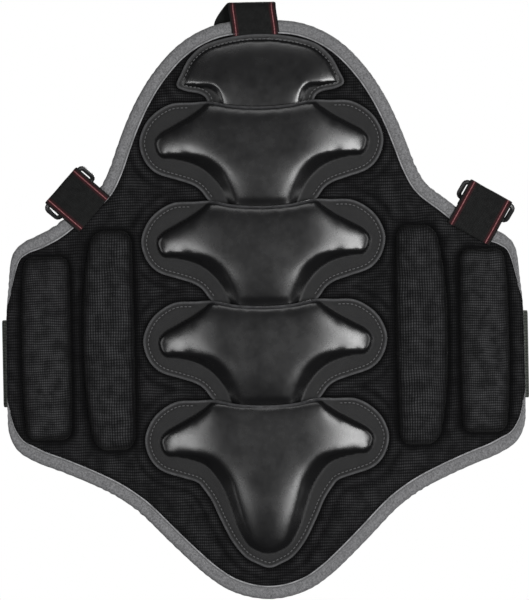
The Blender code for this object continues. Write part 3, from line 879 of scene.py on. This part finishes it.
def rear_width(edge):
    """Width of the edge tape on the rear."""
    sides = np.clip((np.abs(edge[:, 1] - 22) - 55) / 25, 0, 1)
    return BINDING_SIDE_W + (BINDING_W - BINDING_SIDE_W) * np.where(edge[:, 0] > WING_X, sides, 1)


def tuck(x, z):
    """1 where the cover rolls over the curled edge beside the belt, 0 elsewhere."""
    return smoothstep((z + 40) / 12) * smoothstep((56 - z) / 12) * (np.abs(x) > WING_X)


def rim_line(row):
    """Closed outline of a plate in the panel's x and z."""
    return closed(relief_of(row).rim[:, :2] + (0, PLATE_Z[row]))


EDGE = smooth_line(OUTLINE, 6)
COVER_EDGE = inset(EDGE, FABRIC_INSET - TUCK_REACH * tuck(EDGE[:, 0], EDGE[:, 1]))
LINING_EDGE = inset(EDGE, FABRIC_INSET)
BOUND = closed(inset(EDGE, front_width(EDGE)))
RIMS = [rim_line(row) for row in PLATE_Z]


def cushion_outline(place):
    """Outline of a right-hand cushion, fuller in the middle of its outer side than at its ends."""
    x0, x1, z0, z1, radius = CUSHIONS[place]
    line = even_loop(rounded(x0, x1, z0, z1, radius), 1.6)
    v = (line[:, 1] - (z0 + z1) / 2) / ((z1 - z0) / 2)
    share = (line[:, 0] - x0) / (x1 - x0)
    outer = 2.0 - CUSHION_TAPER[place] * np.abs(v) ** 2.4
    line[:, 0] += share * outer + (1 - share) * 1.2 * v**2
    return line


CUSHION_LINES = {place: cushion_outline(place) for place in CUSHIONS}


def cushion_depth(points, place):
    """Distance of each point from the nearer cushion of a pair, positive inside it."""
    return signed(np.column_stack((np.abs(points[:, 0]), points[:, 1])), CUSHION_LINES[place])


def beside_tab(points):
    """1 under the sewn end of a side tab, falling to 0 around it."""
    share = np.zeros(len(points))
    for side in TABS:
        matrix = pull_frame(side)
        pull, across = np.array(matrix.col[0][:3]), np.array(matrix.col[2][:3])
        origin = np.array(matrix.translation)
        offset = points - origin[[0, 2]]
        u, v = offset @ pull[[0, 2]], offset @ across[[0, 2]]
        depth = np.minimum(u + TABS[side][3] + TAB_TAIL[side], WEBBING_W / 2 - np.abs(v))
        share = np.maximum(share, smoothstep((depth + 5) / 5))
    return share


def cover_relief(points):
    """How far the padded cover stands proud of its flat CAD face, and a painted shade share that
    is 1 in its creases.
    """
    x, z = points[:, 0], points[:, 1]
    bound = signed(points, BOUND)
    rims = np.min([-signed(points, rim) for rim in RIMS], axis=0)
    cushions = -np.maximum(cushion_depth(points, "inner"), cushion_depth(points, "outer"))
    padding = ease(bound / 5) * ease(rims / 2.6) * ease(cushions / 3.5)
    creases = 0.8 * waves(x, z * 1.3, 5, 30) + 0.6 * waves(x, z, 9, 13)
    valley = np.exp(-((rims - SEAM_OFFSET) / 2.0) ** 2) * smoothstep(cushions / 8)
    height = COVER_RISE + creases - SEAM_DEPTH * valley
    height = height * padding * (1 - 0.75 * beside_tab(points))
    height = np.where(bound < 0, -0.15, np.maximum(height, -0.1)) + 0.35 * tuck(x, z)
    # painted shade for the fabric's colour, beside the plates' rims, the cushions, the sewn valley
    # and the tape
    beside_rim = np.exp(-(rims / 3.0) ** 2)
    beside_cushion = np.exp(-(np.maximum(cushions, 0) / 4.5) ** 2)
    beside_tape = 0.8 * np.exp(-(bound / 2.0) ** 2)
    return height, np.max((beside_rim, beside_cushion, 0.65 * valley, beside_tape), axis=0)


def lining_height(points):
    """How far the lining sinks below its flat face, along the seams sewn through the panel."""
    seams = [0.8 * np.exp(-np.maximum(signed(points, BOUND), 0) / 4)]
    for row in PLATE_Z:
        loop = flange_loop(relief_of(row), STITCH_INSET, 3.0) + (0, PLATE_Z[row])
        seams.append(np.exp(-(distance(points, loop) / 2.4) ** 2))
    for place in CUSHIONS:
        seams.append(0.9 * np.exp(-(cushion_depth(points, place) / 2.6) ** 2))
    folds = 0.12 * (1 + waves(points[:, 0], points[:, 1], 21, 18))
    return -LINING_SINK * np.max(seams, axis=0) - folds


def section_loop(edge, top, bottom, spacing):
    """Border of the panel between two heights, with the same points along a shared cut."""
    half = even(edge, spacing)
    x, z = half[:, 0], half[:, 1]
    right = half[(z < top - 0.4) & (z > bottom + 0.4)]
    left = right[::-1] * (-1, 1)
    left = left[left[:, 0] < -1e-6]
    cuts = [np.zeros((0, 2)), np.zeros((0, 2))]
    for number, level in enumerate((top, bottom)):
        if z.min() < level < z.max():
            width = np.interp(-level, -z, x)
            across = np.linspace(-width, width, round(2 * width / spacing) + 1)
            cuts[number] = np.column_stack((across, np.full(len(across), level)))
    return np.vstack((cuts[0], right, cuts[1][::-1], left))


def panel_section(section):
    """Front cover and rear lining of one section."""
    top, bottom = SECTIONS[section][:2]
    rows = SECTION_ROWS[section]
    cores = [f"foam_core_{row}" for row in rows]
    for layer, edge, spacing in (("cover", COVER_EDGE, COVER_SPACING),
                                 ("lining", LINING_EDGE, LINING_SPACING)):
        loop = section_loop(edge, top, bottom, spacing)
        flat, faces = triangulate(loop, fill(loop, spacing, spacing, spacing * 0.55))
        if layer == "cover":
            # the cover's colour carries painted shade in its creases
            height, painted_shade = cover_relief(flat)
            y, slot, fields = FACE - height, "mesh", {"painted_shade": painted_shade}
        else:
            y, slot, fields = lining_height(flat), "lining", {}
            faces = faces[:, ::-1]
        verts = np.column_stack((flat[:, 0], y, flat[:, 1]))
        piece = make(f"{layer}_{section}_fabric", verts, faces.tolist(), LOOKS[layer],
                     fields)
        bend(piece, section)
        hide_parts(*[f"{layer}_{row}" for row in rows])
        if layer == "cover":
            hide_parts(*cores)


# ---- binding ----
# Across the tape, front to rear: distance inside the edge as a share of the width, and y.
TAPE_PROFILE = (
    (1.0, FACE + 0.15), (1.0, FACE - 0.9), (0.975, FACE - 1.35), (0.935, FACE - 1.35),
    (0.9, FACE - 0.95), (0.86, FACE - 0.75), (0.8, FACE - 1.1), (0.6, FACE - 1.6),
    (0.4, FACE - 1.75), (0.22, FACE - 1.45), (0.1, FACE - 0.6), (0.03, FACE + 1.2),
    (0.0, FACE + 3.4), (0.0, -3.2), (0.04, -0.6), (0.14, 0.75), (0.3, 1.3),
    (0.6, 1.35), (0.76, 1.1), (0.81, 0.75), (0.86, 1.1), (0.97, 1.0), (1.0, 0.2),
)
LEAST_FLAP = 2.5  # the tape's front flap is never narrower, even under the cover


def tape_stations(line):
    """Cross-sections of the binding along the right half of the edge: its points, front and rear
    width, inward direction, run, and how much it gathers round outer curves."""
    line = even(line, 1.6)
    inward = inwards(line)
    curl = np.gradient(np.unwrap(np.arctan2(inward[:, 1], inward[:, 0])))
    gather = smoothstep(curl / 0.02) * 0.6 + 0.3
    return line, front_width(line), rear_width(line), inward, run_along(line), gather


def tape_piece(name, side, section, nodes):
    """Binding over a section's edge. side is 1 for the right or -1 for the left; at the top and
    the tail one arch covers both, and side is 0."""
    line, front, rear, inward, run, gather = tape_stations(EDGE)
    top, bottom = SECTIONS[section][:2]
    chosen = np.flatnonzero((line[:, 1] <= top) & (line[:, 1] >= bottom))
    chosen = np.union1d(chosen, max(chosen[0] - 1, 0))
    right, left = [(i, 1) for i in chosen], [(i, -1) for i in chosen]
    arches = {"upper": left[:0:-1] + right, "tail": left + right[-2::-1]}
    stations = arches.get(section, right if side == 1 else left)
    index, sign = np.array(stations).T
    line, inward = line[index, None], inward[index, None]
    front, rear, run, gather = (a[index, None] for a in (front, rear, run, gather))
    sign = sign[:, None]
    share, y = np.array(TAPE_PROFILE).T
    in_front = y < MIDDLE_Y
    facing = np.where(in_front, -1, 1)
    width = np.where(in_front, np.maximum(front, LEAST_FLAP), rear)
    flatness = np.minimum(1.0, 0.05 + front / 5)
    pucker = np.sin(run * 2 * math.pi / 7.3 + 3.0 * np.sin(run / 17))
    pucker *= np.sin(run / 11.3 + sign) * gather * 1.3
    depth = share * width + 0.4 * pucker * (1 - share) ** 2
    swell = 0.3 * pucker * flatness * (1 - np.abs(2 * share - 1)) * facing
    place = line + inward * depth[..., None]
    y = np.where(y < FACE, FACE + (y - FACE) * flatness, y) + swell
    verts = np.stack((sign * place[..., 0], y, place[..., 1]), axis=2).reshape(-1, 3)
    seam = ((share > 0.85) & (share < 0.87)) | ((share > 0.80) & (share < 0.82))
    count = len(stations)
    fields = {"along": np.repeat(run * sign, len(share)) * MM,
              "across": ((share - 1) * width * facing).ravel() * MM,
              "piping": np.tile((share > 0.91) & in_front, count), "seam": np.tile(seam, count)}
    turned = stations[0][1] == -1 and section != "upper"
    faces = grid_faces(count, len(share), flip=turned)
    piece = make(name, verts, faces, LOOKS["tape"], fields)
    bend(piece, section)
    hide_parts(*nodes)


def bindings():
    """One tape over the top, one round the tail, and one on each side of the rows between."""
    tape_piece("binding_tape_upper", 0, "upper",
               ["binding_neck", "binding_left_shoulder", "binding_right_shoulder"])
    for section, row in (("middle", "chest"), ("lower", "waist")):
        for side, sign in SIDES:
            tape_piece(f"binding_tape_{side}_{section}", sign, section, [f"binding_{side}_{row}"])
    tape_piece("binding_tape_tail", 0, "tail", ["binding_tail"])


# ---- cushions ----
RIB_PITCH = 2.0
CUSHION_SEEDS = {"inner": 31, "outer": 32}


def cushion_surface(flat, place):
    """Height of a cushion over the cover: rounded sides, a crowned top, dents and ribs."""
    x, z = np.abs(flat[:, 0]), flat[:, 1]
    x0, x1, z0, z1, _ = CUSHIONS[place]
    u = (x - (x0 + x1) / 2) / ((x1 - x0) / 2)
    v = (z - (z0 + z1) / 2) / ((z1 - z0) / 2)
    depth = cushion_depth(flat, place)
    side = np.clip(depth / 14, 0, 1)
    height = (CUSHION_H - 0.6) * (1 - (1 - side) ** 2.3) ** 0.6
    crown = 2.0 * np.clip(1 - u**2, 0, 1) * np.clip(1 - v**4, 0, 1)
    dents = 0.5 * waves(flat[:, 0], z * 0.8, CUSHION_SEEDS[place], 34)
    if place == "outer":
        ribs = 0.22 * np.sin(z * 2 * math.pi / RIB_PITCH)
    else:
        ribs = 0.2 * np.sin(x * 2 * math.pi / RIB_PITCH)
    return height + (crown + dents + ribs) * smoothstep((depth - 1.5) / 4)


def cushion(place, side, section):
    """One half of a cushion, above or below the cut between its two folds."""
    sign = -1 if side == "left" else 1
    outline, cut_z = CUSHION_LINES[place], SECTIONS["lower"][1]
    over_cut = outline[:, 1] - cut_z
    keep = over_cut > 0.5 if section == "lower" else over_cut < -0.5
    start = int(np.argmin(keep))
    loop = np.roll(outline, -start, axis=0)[np.roll(keep, -start)]
    at_cut = outline[np.abs(over_cut) < 1.5, 0]
    ends = (at_cut.min(), at_cut.max()) if section == "lower" else (at_cut.max(), at_cut.min())
    loop = np.vstack((loop, np.column_stack((np.linspace(*ends, 61), np.full(61, cut_z)))))
    spacing = (2.6, 0.5) if place == "outer" else (0.4, 2.6)  # close together across the ribs
    flat, faces = triangulate(loop, fill(loop, *spacing, 0.7))
    height = np.where(distance(flat, outline) < 1e-4, 0.0, cushion_surface(flat, place))
    count, border = len(flat), len(loop)
    top = np.column_stack((sign * flat[:, 0], FACE - height + 0.2, flat[:, 1]))
    base = np.column_stack((sign * loop[:, 0], np.full(border, FACE + 0.3), loop[:, 1]))
    # painted shade: darkens the cushion's fabric towards its foot and on its base
    painted_shade = np.append(np.exp(-(cushion_depth(flat, place) / 3.8) ** 2), np.ones(border))
    piece = make(f"cushion_{place}_{side}_{section}", np.vstack((top, base)),
                 pad_faces(faces, count, border), LOOKS[f"cushion_{place}"],
                 {"painted_shade": painted_shade})
    outward(piece)
    bend(piece, section)
    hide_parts(f"cushion_{place}_{side}")


# ---- webbing ----
BAND_HALF = np.array((0.25, 0.5, 0.75, 0.93, 0.985, 1.0))  # points from the middle to one edge
SEWN_Y = FACE - 2.3  # middle of webbing that lies on the cover
BAR_BACK = RING_BAR / 2 + GAP + WEBBING_T  # from a tab's fold back to the ring's bar
BAR_Y = -6.0  # y of that bar


def band(name, path, across, width, look, slot, thickness=WEBBING_T, wrinkle=0.0, seed=1,
         shift=None, outer=1):
    """Webbing along a path of (x, y, z); across is its sideways direction. The side that tangent
    cross across points to is its face, or the other side where outer is -1."""
    path, across = np.asarray(path, float), np.asarray(across, float)
    run = run_along(path)
    fine = np.linspace(0, run[-1], max(8, round(run[-1] / 1.6)))
    centre = follow(path, run, fine)
    normal = unit(np.cross(unit(np.gradient(centre, axis=0)), across))
    places = np.concatenate((-BAND_HALF[::-1], [0.0], BAND_HALF))
    edge = np.sqrt(np.clip(1 - (np.abs(places) - 0.93).clip(0) ** 2 / 0.0052, 0, 1)) / 2
    ring = np.append(places, places[-2:0:-1])
    level = np.append(edge, -edge[-2:0:-1])
    rows, count = len(fine), len(ring)
    along, sideways = np.repeat(fine, count), np.tile(ring * width / 2, rows)
    offset = 0.0 if shift is None else shift(along / run[-1])
    rise = np.tile(level * thickness, rows) + wrinkle * waves(along, sideways, seed, 17)
    verts = (np.repeat(centre, count, axis=0) + across * (sideways + offset)[:, None]
             + np.repeat(normal, count, axis=0) * rise[:, None])
    faces = grid_faces(rows, count, around=True)
    faces += [tuple(range(count - 1, -1, -1)), tuple(range((rows - 1) * count, rows * count))]
    fields = {"along": along * MM, "across": sideways * MM,
              "face": np.tile(level * outer > 0, rows)}
    piece = make(name, verts, faces, look, fields)
    outward(piece)
    return piece


def outward(piece):
    """Turns a closed mesh's faces outwards."""
    work = bmesh.new()
    work.from_mesh(piece.data)
    bmesh.ops.recalc_face_normals(work, faces=work.faces)
    work.to_mesh(piece.data)
    work.free()


def smoothed(path, spacing=1.5, rounds=4):
    """A path evened out, with its corners rounded."""
    path = even(np.asarray(path, float), spacing)
    for _ in range(rounds):
        path[1:-1] = (path[:-2] + 2 * path[1:-1] + path[2:]) / 4
    return path


def neck_loop():
    """Stands over the top edge; its front end runs under the top plate, its rear one under the
    patch."""
    front, rear = SEWN_Y, 2.3
    radius, middle, crest = (rear - front) / 2, (front + rear) / 2, 278.4
    path = [(-3.0, FACE + 0.5, 254.0), (-3.0, FACE + 0.2, 257.5), (-3.2, FACE - 1.4, 262.0),
            (-3.7, front, 266.5), (-4.5, front, 273.0)]
    path += [(-5.5, middle - radius * math.cos(t), crest + radius * math.sin(t))
             for t in np.linspace(0.15, math.pi - 0.15, 15)]
    path += [(-5.5, rear, 273.0), (-5.5, rear, 262.0), (-5.5, rear, 241.0)]
    path = smoothed(path)
    piece = band("neck_loop_webbing", path, (1, 0, 0), WEBBING_W, LOOKS["loop"], "webbing",
                 wrinkle=0.12, seed=3, outer=-1,
                 shift=lambda share: -12.0 * smoothstep((share - 0.38) / 0.3))
    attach(piece, "neck")
    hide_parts("neck_loop")


def pull_frame(side):
    """Matrix of a side tab: x along the pull, y towards the wearer, origin mid-fold."""
    x, z, angle, _ = TABS[side]
    turn = math.radians(angle)
    sign = -1 if side == "left" else 1
    pull = Vector((sign * math.cos(turn), 0, math.sin(turn)))
    rear = Vector((0, 1, 0))
    across = pull.cross(rear)
    matrix = Matrix((pull, rear, across)).transposed().to_4x4()
    return Matrix.Translation((sign * x, 0, z)) @ matrix


def side_tabs():
    """Folded webbing from the cover round the bar of each ring and back."""
    wrap = RING_BAR / 2 + GAP + WEBBING_T / 2
    for side in TABS:
        length, reach = TABS[side][3], TAB_REACH[side]
        path = [(-length - TAB_TAIL[side], SEWN_Y + 0.3, 0), (-length, SEWN_Y, 0),
                (-length + 6, SEWN_Y, 0), (-reach + 2, SEWN_Y, 0)]
        path += [(-BAR_BACK + wrap * math.cos(t), BAR_Y + wrap * math.sin(t), 0)
                 for t in np.radians(np.linspace(-100, 90, 11))]
        path += [(-reach / 2 - 2, BAR_Y + wrap, 0), (-reach + 4.5, BAR_Y + wrap, 0)]
        matrix = pull_frame(side)
        world = np.array([tuple(matrix @ Vector(p)) for p in smoothed(path, 1.0, 2)])
        across = tuple(matrix.to_3x3() @ Vector((0, 0, 1)))
        piece = band(f"tab_{side}_webbing", world, across, WEBBING_W, LOOKS["loop"], "webbing",
                     wrinkle=0.15, seed=7)
        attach(piece, "shoulder")
        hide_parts(f"tab_{side}")


STRAPS = {  # name: section, top, bottom and the rows whose CAD straps it replaces
    "upper": ("upper", 236.0, 160.5, ("neck", "shoulder")),
    "lower": ("middle", 160.5, 81.5, ("chest",)),
    "end": ("lower", 81.5, 47.0, ()),
}


def straps():
    """Two layers of shoulder strap on each side, lying on the lining."""
    for side, sign in SIDES:
        for name, (section, top, bottom, rows) in STRAPS.items():
            for layer, y in STRAP_LAYERS:
                path = [(sign * STRAP_X, y, z) for z in np.linspace(top, bottom, 60)]
                piece = band(f"strap_{side}_{name}_{layer}", path, (1, 0, 0), WEBBING_W,
                             LOOKS["webbing"], "webbing", thickness=STRAP_T)
                bend(piece, section)
                if layer == "inner":
                    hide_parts(*[f"strap_{side}_{row}" for row in rows])


# ---- flat sewn pieces ----
def patch(name, body, node, x, z, y_in, y_out, radius, look, puff=0.0, spacing=2.0):
    """A sewn patch or pad between two depths, with rounded edges and a slightly puffed face.
    It rides on a body and replaces a CAD node."""
    outline = even_loop(rounded(*x, *z, radius), 1.5)
    flat, faces = triangulate(outline, fill(outline, spacing, spacing, 0.8))
    depth = np.where(distance(flat, outline) < 1e-4, 0, signed(flat, outline))
    sign = 1 if y_out > y_in else -1
    thick = abs(y_out - y_in)
    rise = thick * (0.35 + 0.65 * np.sqrt(1 - (1 - np.clip(depth / thick, 0, 1)) ** 2))
    rise += puff * ease(depth / 6)
    face = np.column_stack((flat[:, 0], y_in + sign * rise, flat[:, 1]))
    base = np.column_stack((outline[:, 0], np.full(len(outline), y_in), outline[:, 1]))
    fields = {"along": np.append(flat[:, 0], outline[:, 0]) * MM,
              "across": np.append(flat[:, 1], outline[:, 1]) * MM}
    piece = make(name, np.vstack((face, base)), pad_faces(faces, len(flat), len(outline)),
                 LOOKS[look], fields)
    outward(piece)
    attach(piece, body)
    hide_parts(node)
    return piece


def rear_patches():
    """The patch behind the neck loop and the pad over the lumbar spine."""
    patch("neck_patch_fabric", "neck", "neck_patch", (-46, 46), (222, 262), 3.3, 4.4, 3,
          "webbing")
    pad = patch("lumbar_pad_cushion", "tail", "lumbar_pad", (-62, 62), (-112, -48), 0.2, 3.1, 8,
                "lining", puff=0.2, spacing=1.6)


def elastic(name, path, **settings):
    """One layer of the belt along a path of (x, y, z)."""
    return band(name, path, (0, 0, 1), 2 * BELT_HALF, LOOKS["belt"], "belt", thickness=BELT_T,
                **settings)


def belts():
    """Each belt runs out from its seam, turns round a fold and comes back as a wing."""
    reach = BELT_FOLD_X - 0.15
    middle, radius = (ANCHOR_Y + WING_Y) / 2, (WING_Y - ANCHOR_Y) / 2
    for side, sign in SIDES:
        fold_x = sign * BELT_FOLD_X
        anchor = [(sign * x, ANCHOR_Y, 0) for x in np.linspace(BELT_SEAM_X, reach, 30)]
        piece = elastic(f"belt_{side}_anchor_elastic", anchor, wrinkle=0.08)
        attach(piece, "waist")
        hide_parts(f"belt_anchor_{side}")
        fold = [(fold_x + sign * radius * math.cos(t), middle + radius * math.sin(t), 0)
                for t in np.linspace(-math.pi / 2, math.pi / 2, 13)]
        piece = elastic(f"belt_{side}_fold_elastic", fold)
        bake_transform(piece)
        wing = [(sign * x, WING_Y, 0) for x in np.linspace(reach, BELT_TIP_X, 90)]
        piece = elastic(f"belt_{side}_wing_elastic", wing, wrinkle=0.1, seed=11)
        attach(piece, f"belt_{side}")
        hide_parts(f"belt_wing_{side}")
    patch("belt_hook_tape", "belt_left", "belt_hook_left", (-82, -18), (-29, 29), 3.2, 2.2, 3,
          "hook")
    patch("belt_loop_tape", "belt_right", "belt_pile_right", (18, 100), (-29, 29), 5.2, 6.4, 3,
          "pile")


def hardware():
    """The rings and slides keep their CAD shape, with softened edges and a plastic finish."""
    for name in ("ring_left", "ring_right", "slider_left", "slider_right"):
        node = frame["nodes"][name]
        node.data.materials.clear()
        node.data.materials.append(LOOKS["plastic"])
        node.modifiers.new("joined corners", "WELD").merge_threshold = 0.01 * MM
        if name.startswith("ring"):
            full = node.modifiers.new("full section", "DISPLACE")
            full.strength = 0.2 * MM
            full.mid_level = 0.0
        else:
            soft = node.modifiers.new("soft edges", "BEVEL")
            soft.width = 0.5 * MM
            soft.segments = 3
            soft.limit_method = "ANGLE"


# ---- stage: lengths in metres ----
AIM = (0.0, 0.0, 0.05)
LIGHTS = {  # name: place, size, watts
    "softbox_right": ((0.85, -1.85, -0.15), (0.6, 1.0), 34),
    "softbox_left": ((-0.75, -1.85, -0.2), (0.5, 0.6), 11),
    "side_right": ((1.9, -0.75, 0.1), (0.8, 1.8), 10),
    "side_left": ((-1.9, -0.9, 0.0), (0.8, 1.8), 9),
    "overhead": ((0.0, -2.0, 1.6), (1.0, 0.6), 6),
    "rear": ((0.6, 2.0, 1.1), (1.2, 1.2), 60),
}
CAMERA_GAP, CAMERA_Z, FRAME_HEIGHT = 2.0, 0.0472, 0.480
CAMERA_ROLL = -1.1  # degrees
SENSOR = 36.0  # millimetres, as the camera counts it


def area_light(name, place, size, watts):
    """A softbox aimed at the middle of the part."""
    data = bpy.data.lights.new(name, "AREA")
    data.shape = "RECTANGLE"
    data.size, data.size_y = size
    data.energy = watts
    lamp = bpy.data.objects.new(name, data)
    lamp.location = place
    lamp.rotation_euler = (Vector(AIM) - Vector(place)).to_track_quat("-Z", "Y").to_euler()
    bpy.context.scene.collection.objects.link(lamp)


def world():
    """White behind the object, and a dim even light around it."""
    made = bpy.data.worlds.new("studio")
    bpy.context.scene.world = made
    made.use_nodes = True
    tree = made.node_tree
    background = tree.nodes["Background"]
    mix = tree.nodes.new("ShaderNodeMix")
    mix.data_type = "RGBA"
    mix.inputs[6].default_value = (0.06, 0.06, 0.062, 1)
    mix.inputs[7].default_value = (1.0, 1.0, 1.0, 1)
    rays = tree.nodes.new("ShaderNodeLightPath")
    tree.links.new(rays.outputs["Is Camera Ray"], mix.inputs[0])
    tree.links.new(mix.outputs[2], background.inputs["Color"])
    background.inputs["Strength"].default_value = 1.0


def floor():
    """Pale round floor, below the part and out of the front view."""
    look = Look("pale_floor", Specular_IOR_Level=0.2)
    colour = look.mix(look.between(look.noise(40.0, 3.0), 0.3, 0.7), (0.80, 0.80, 0.80),
                      (0.84, 0.84, 0.84))
    mesh = bmesh.new()
    bmesh.ops.create_circle(mesh, cap_ends=True, radius=1.3, segments=96)
    data = bpy.data.meshes.new("floor")
    mesh.to_mesh(data)
    mesh.free()
    data.materials.append(look.finish(colour, look.between(look.noise(8.0), 0.3, 0.7, 0.7, 0.8)))
    made = bpy.data.objects.new("floor", data)
    made.location = (0, 0, -0.5)
    made.visible_glossy = False  # no pale bounce in the black plates
    made.visible_diffuse = False
    bpy.context.scene.collection.objects.link(made)


def camera():
    """Looks straight at the front, slightly rolled."""
    data = bpy.data.cameras.new("camera")
    data.sensor_width = SENSOR
    data.lens = SENSOR * CAMERA_GAP / FRAME_HEIGHT
    made = bpy.data.objects.new("camera", data)
    made.matrix_world = (Matrix.Translation((0.0, -CAMERA_GAP - 0.005, CAMERA_Z))
                         @ Matrix.Rotation(math.radians(90), 4, "X")
                         @ Matrix.Rotation(math.radians(CAMERA_ROLL), 4, "Z"))
    bpy.context.scene.collection.objects.link(made)
    bpy.context.scene.camera = made


camera()
world()
floor()
for light in LIGHTS:
    area_light(light, *LIGHTS[light])
bpy.context.scene.view_settings.view_transform = "Standard"

for row_name in PLATE_Z:
    plate(row_name)
for section_name in SECTIONS:
    panel_section(section_name)
bindings()
for cushion_place in CUSHIONS:
    for cushion_side in ("left", "right"):
        cushion(cushion_place, cushion_side, "lower")
        cushion(cushion_place, cushion_side, "tail")
neck_loop()
side_tabs()
straps()
rear_patches()
belts()
hardware()
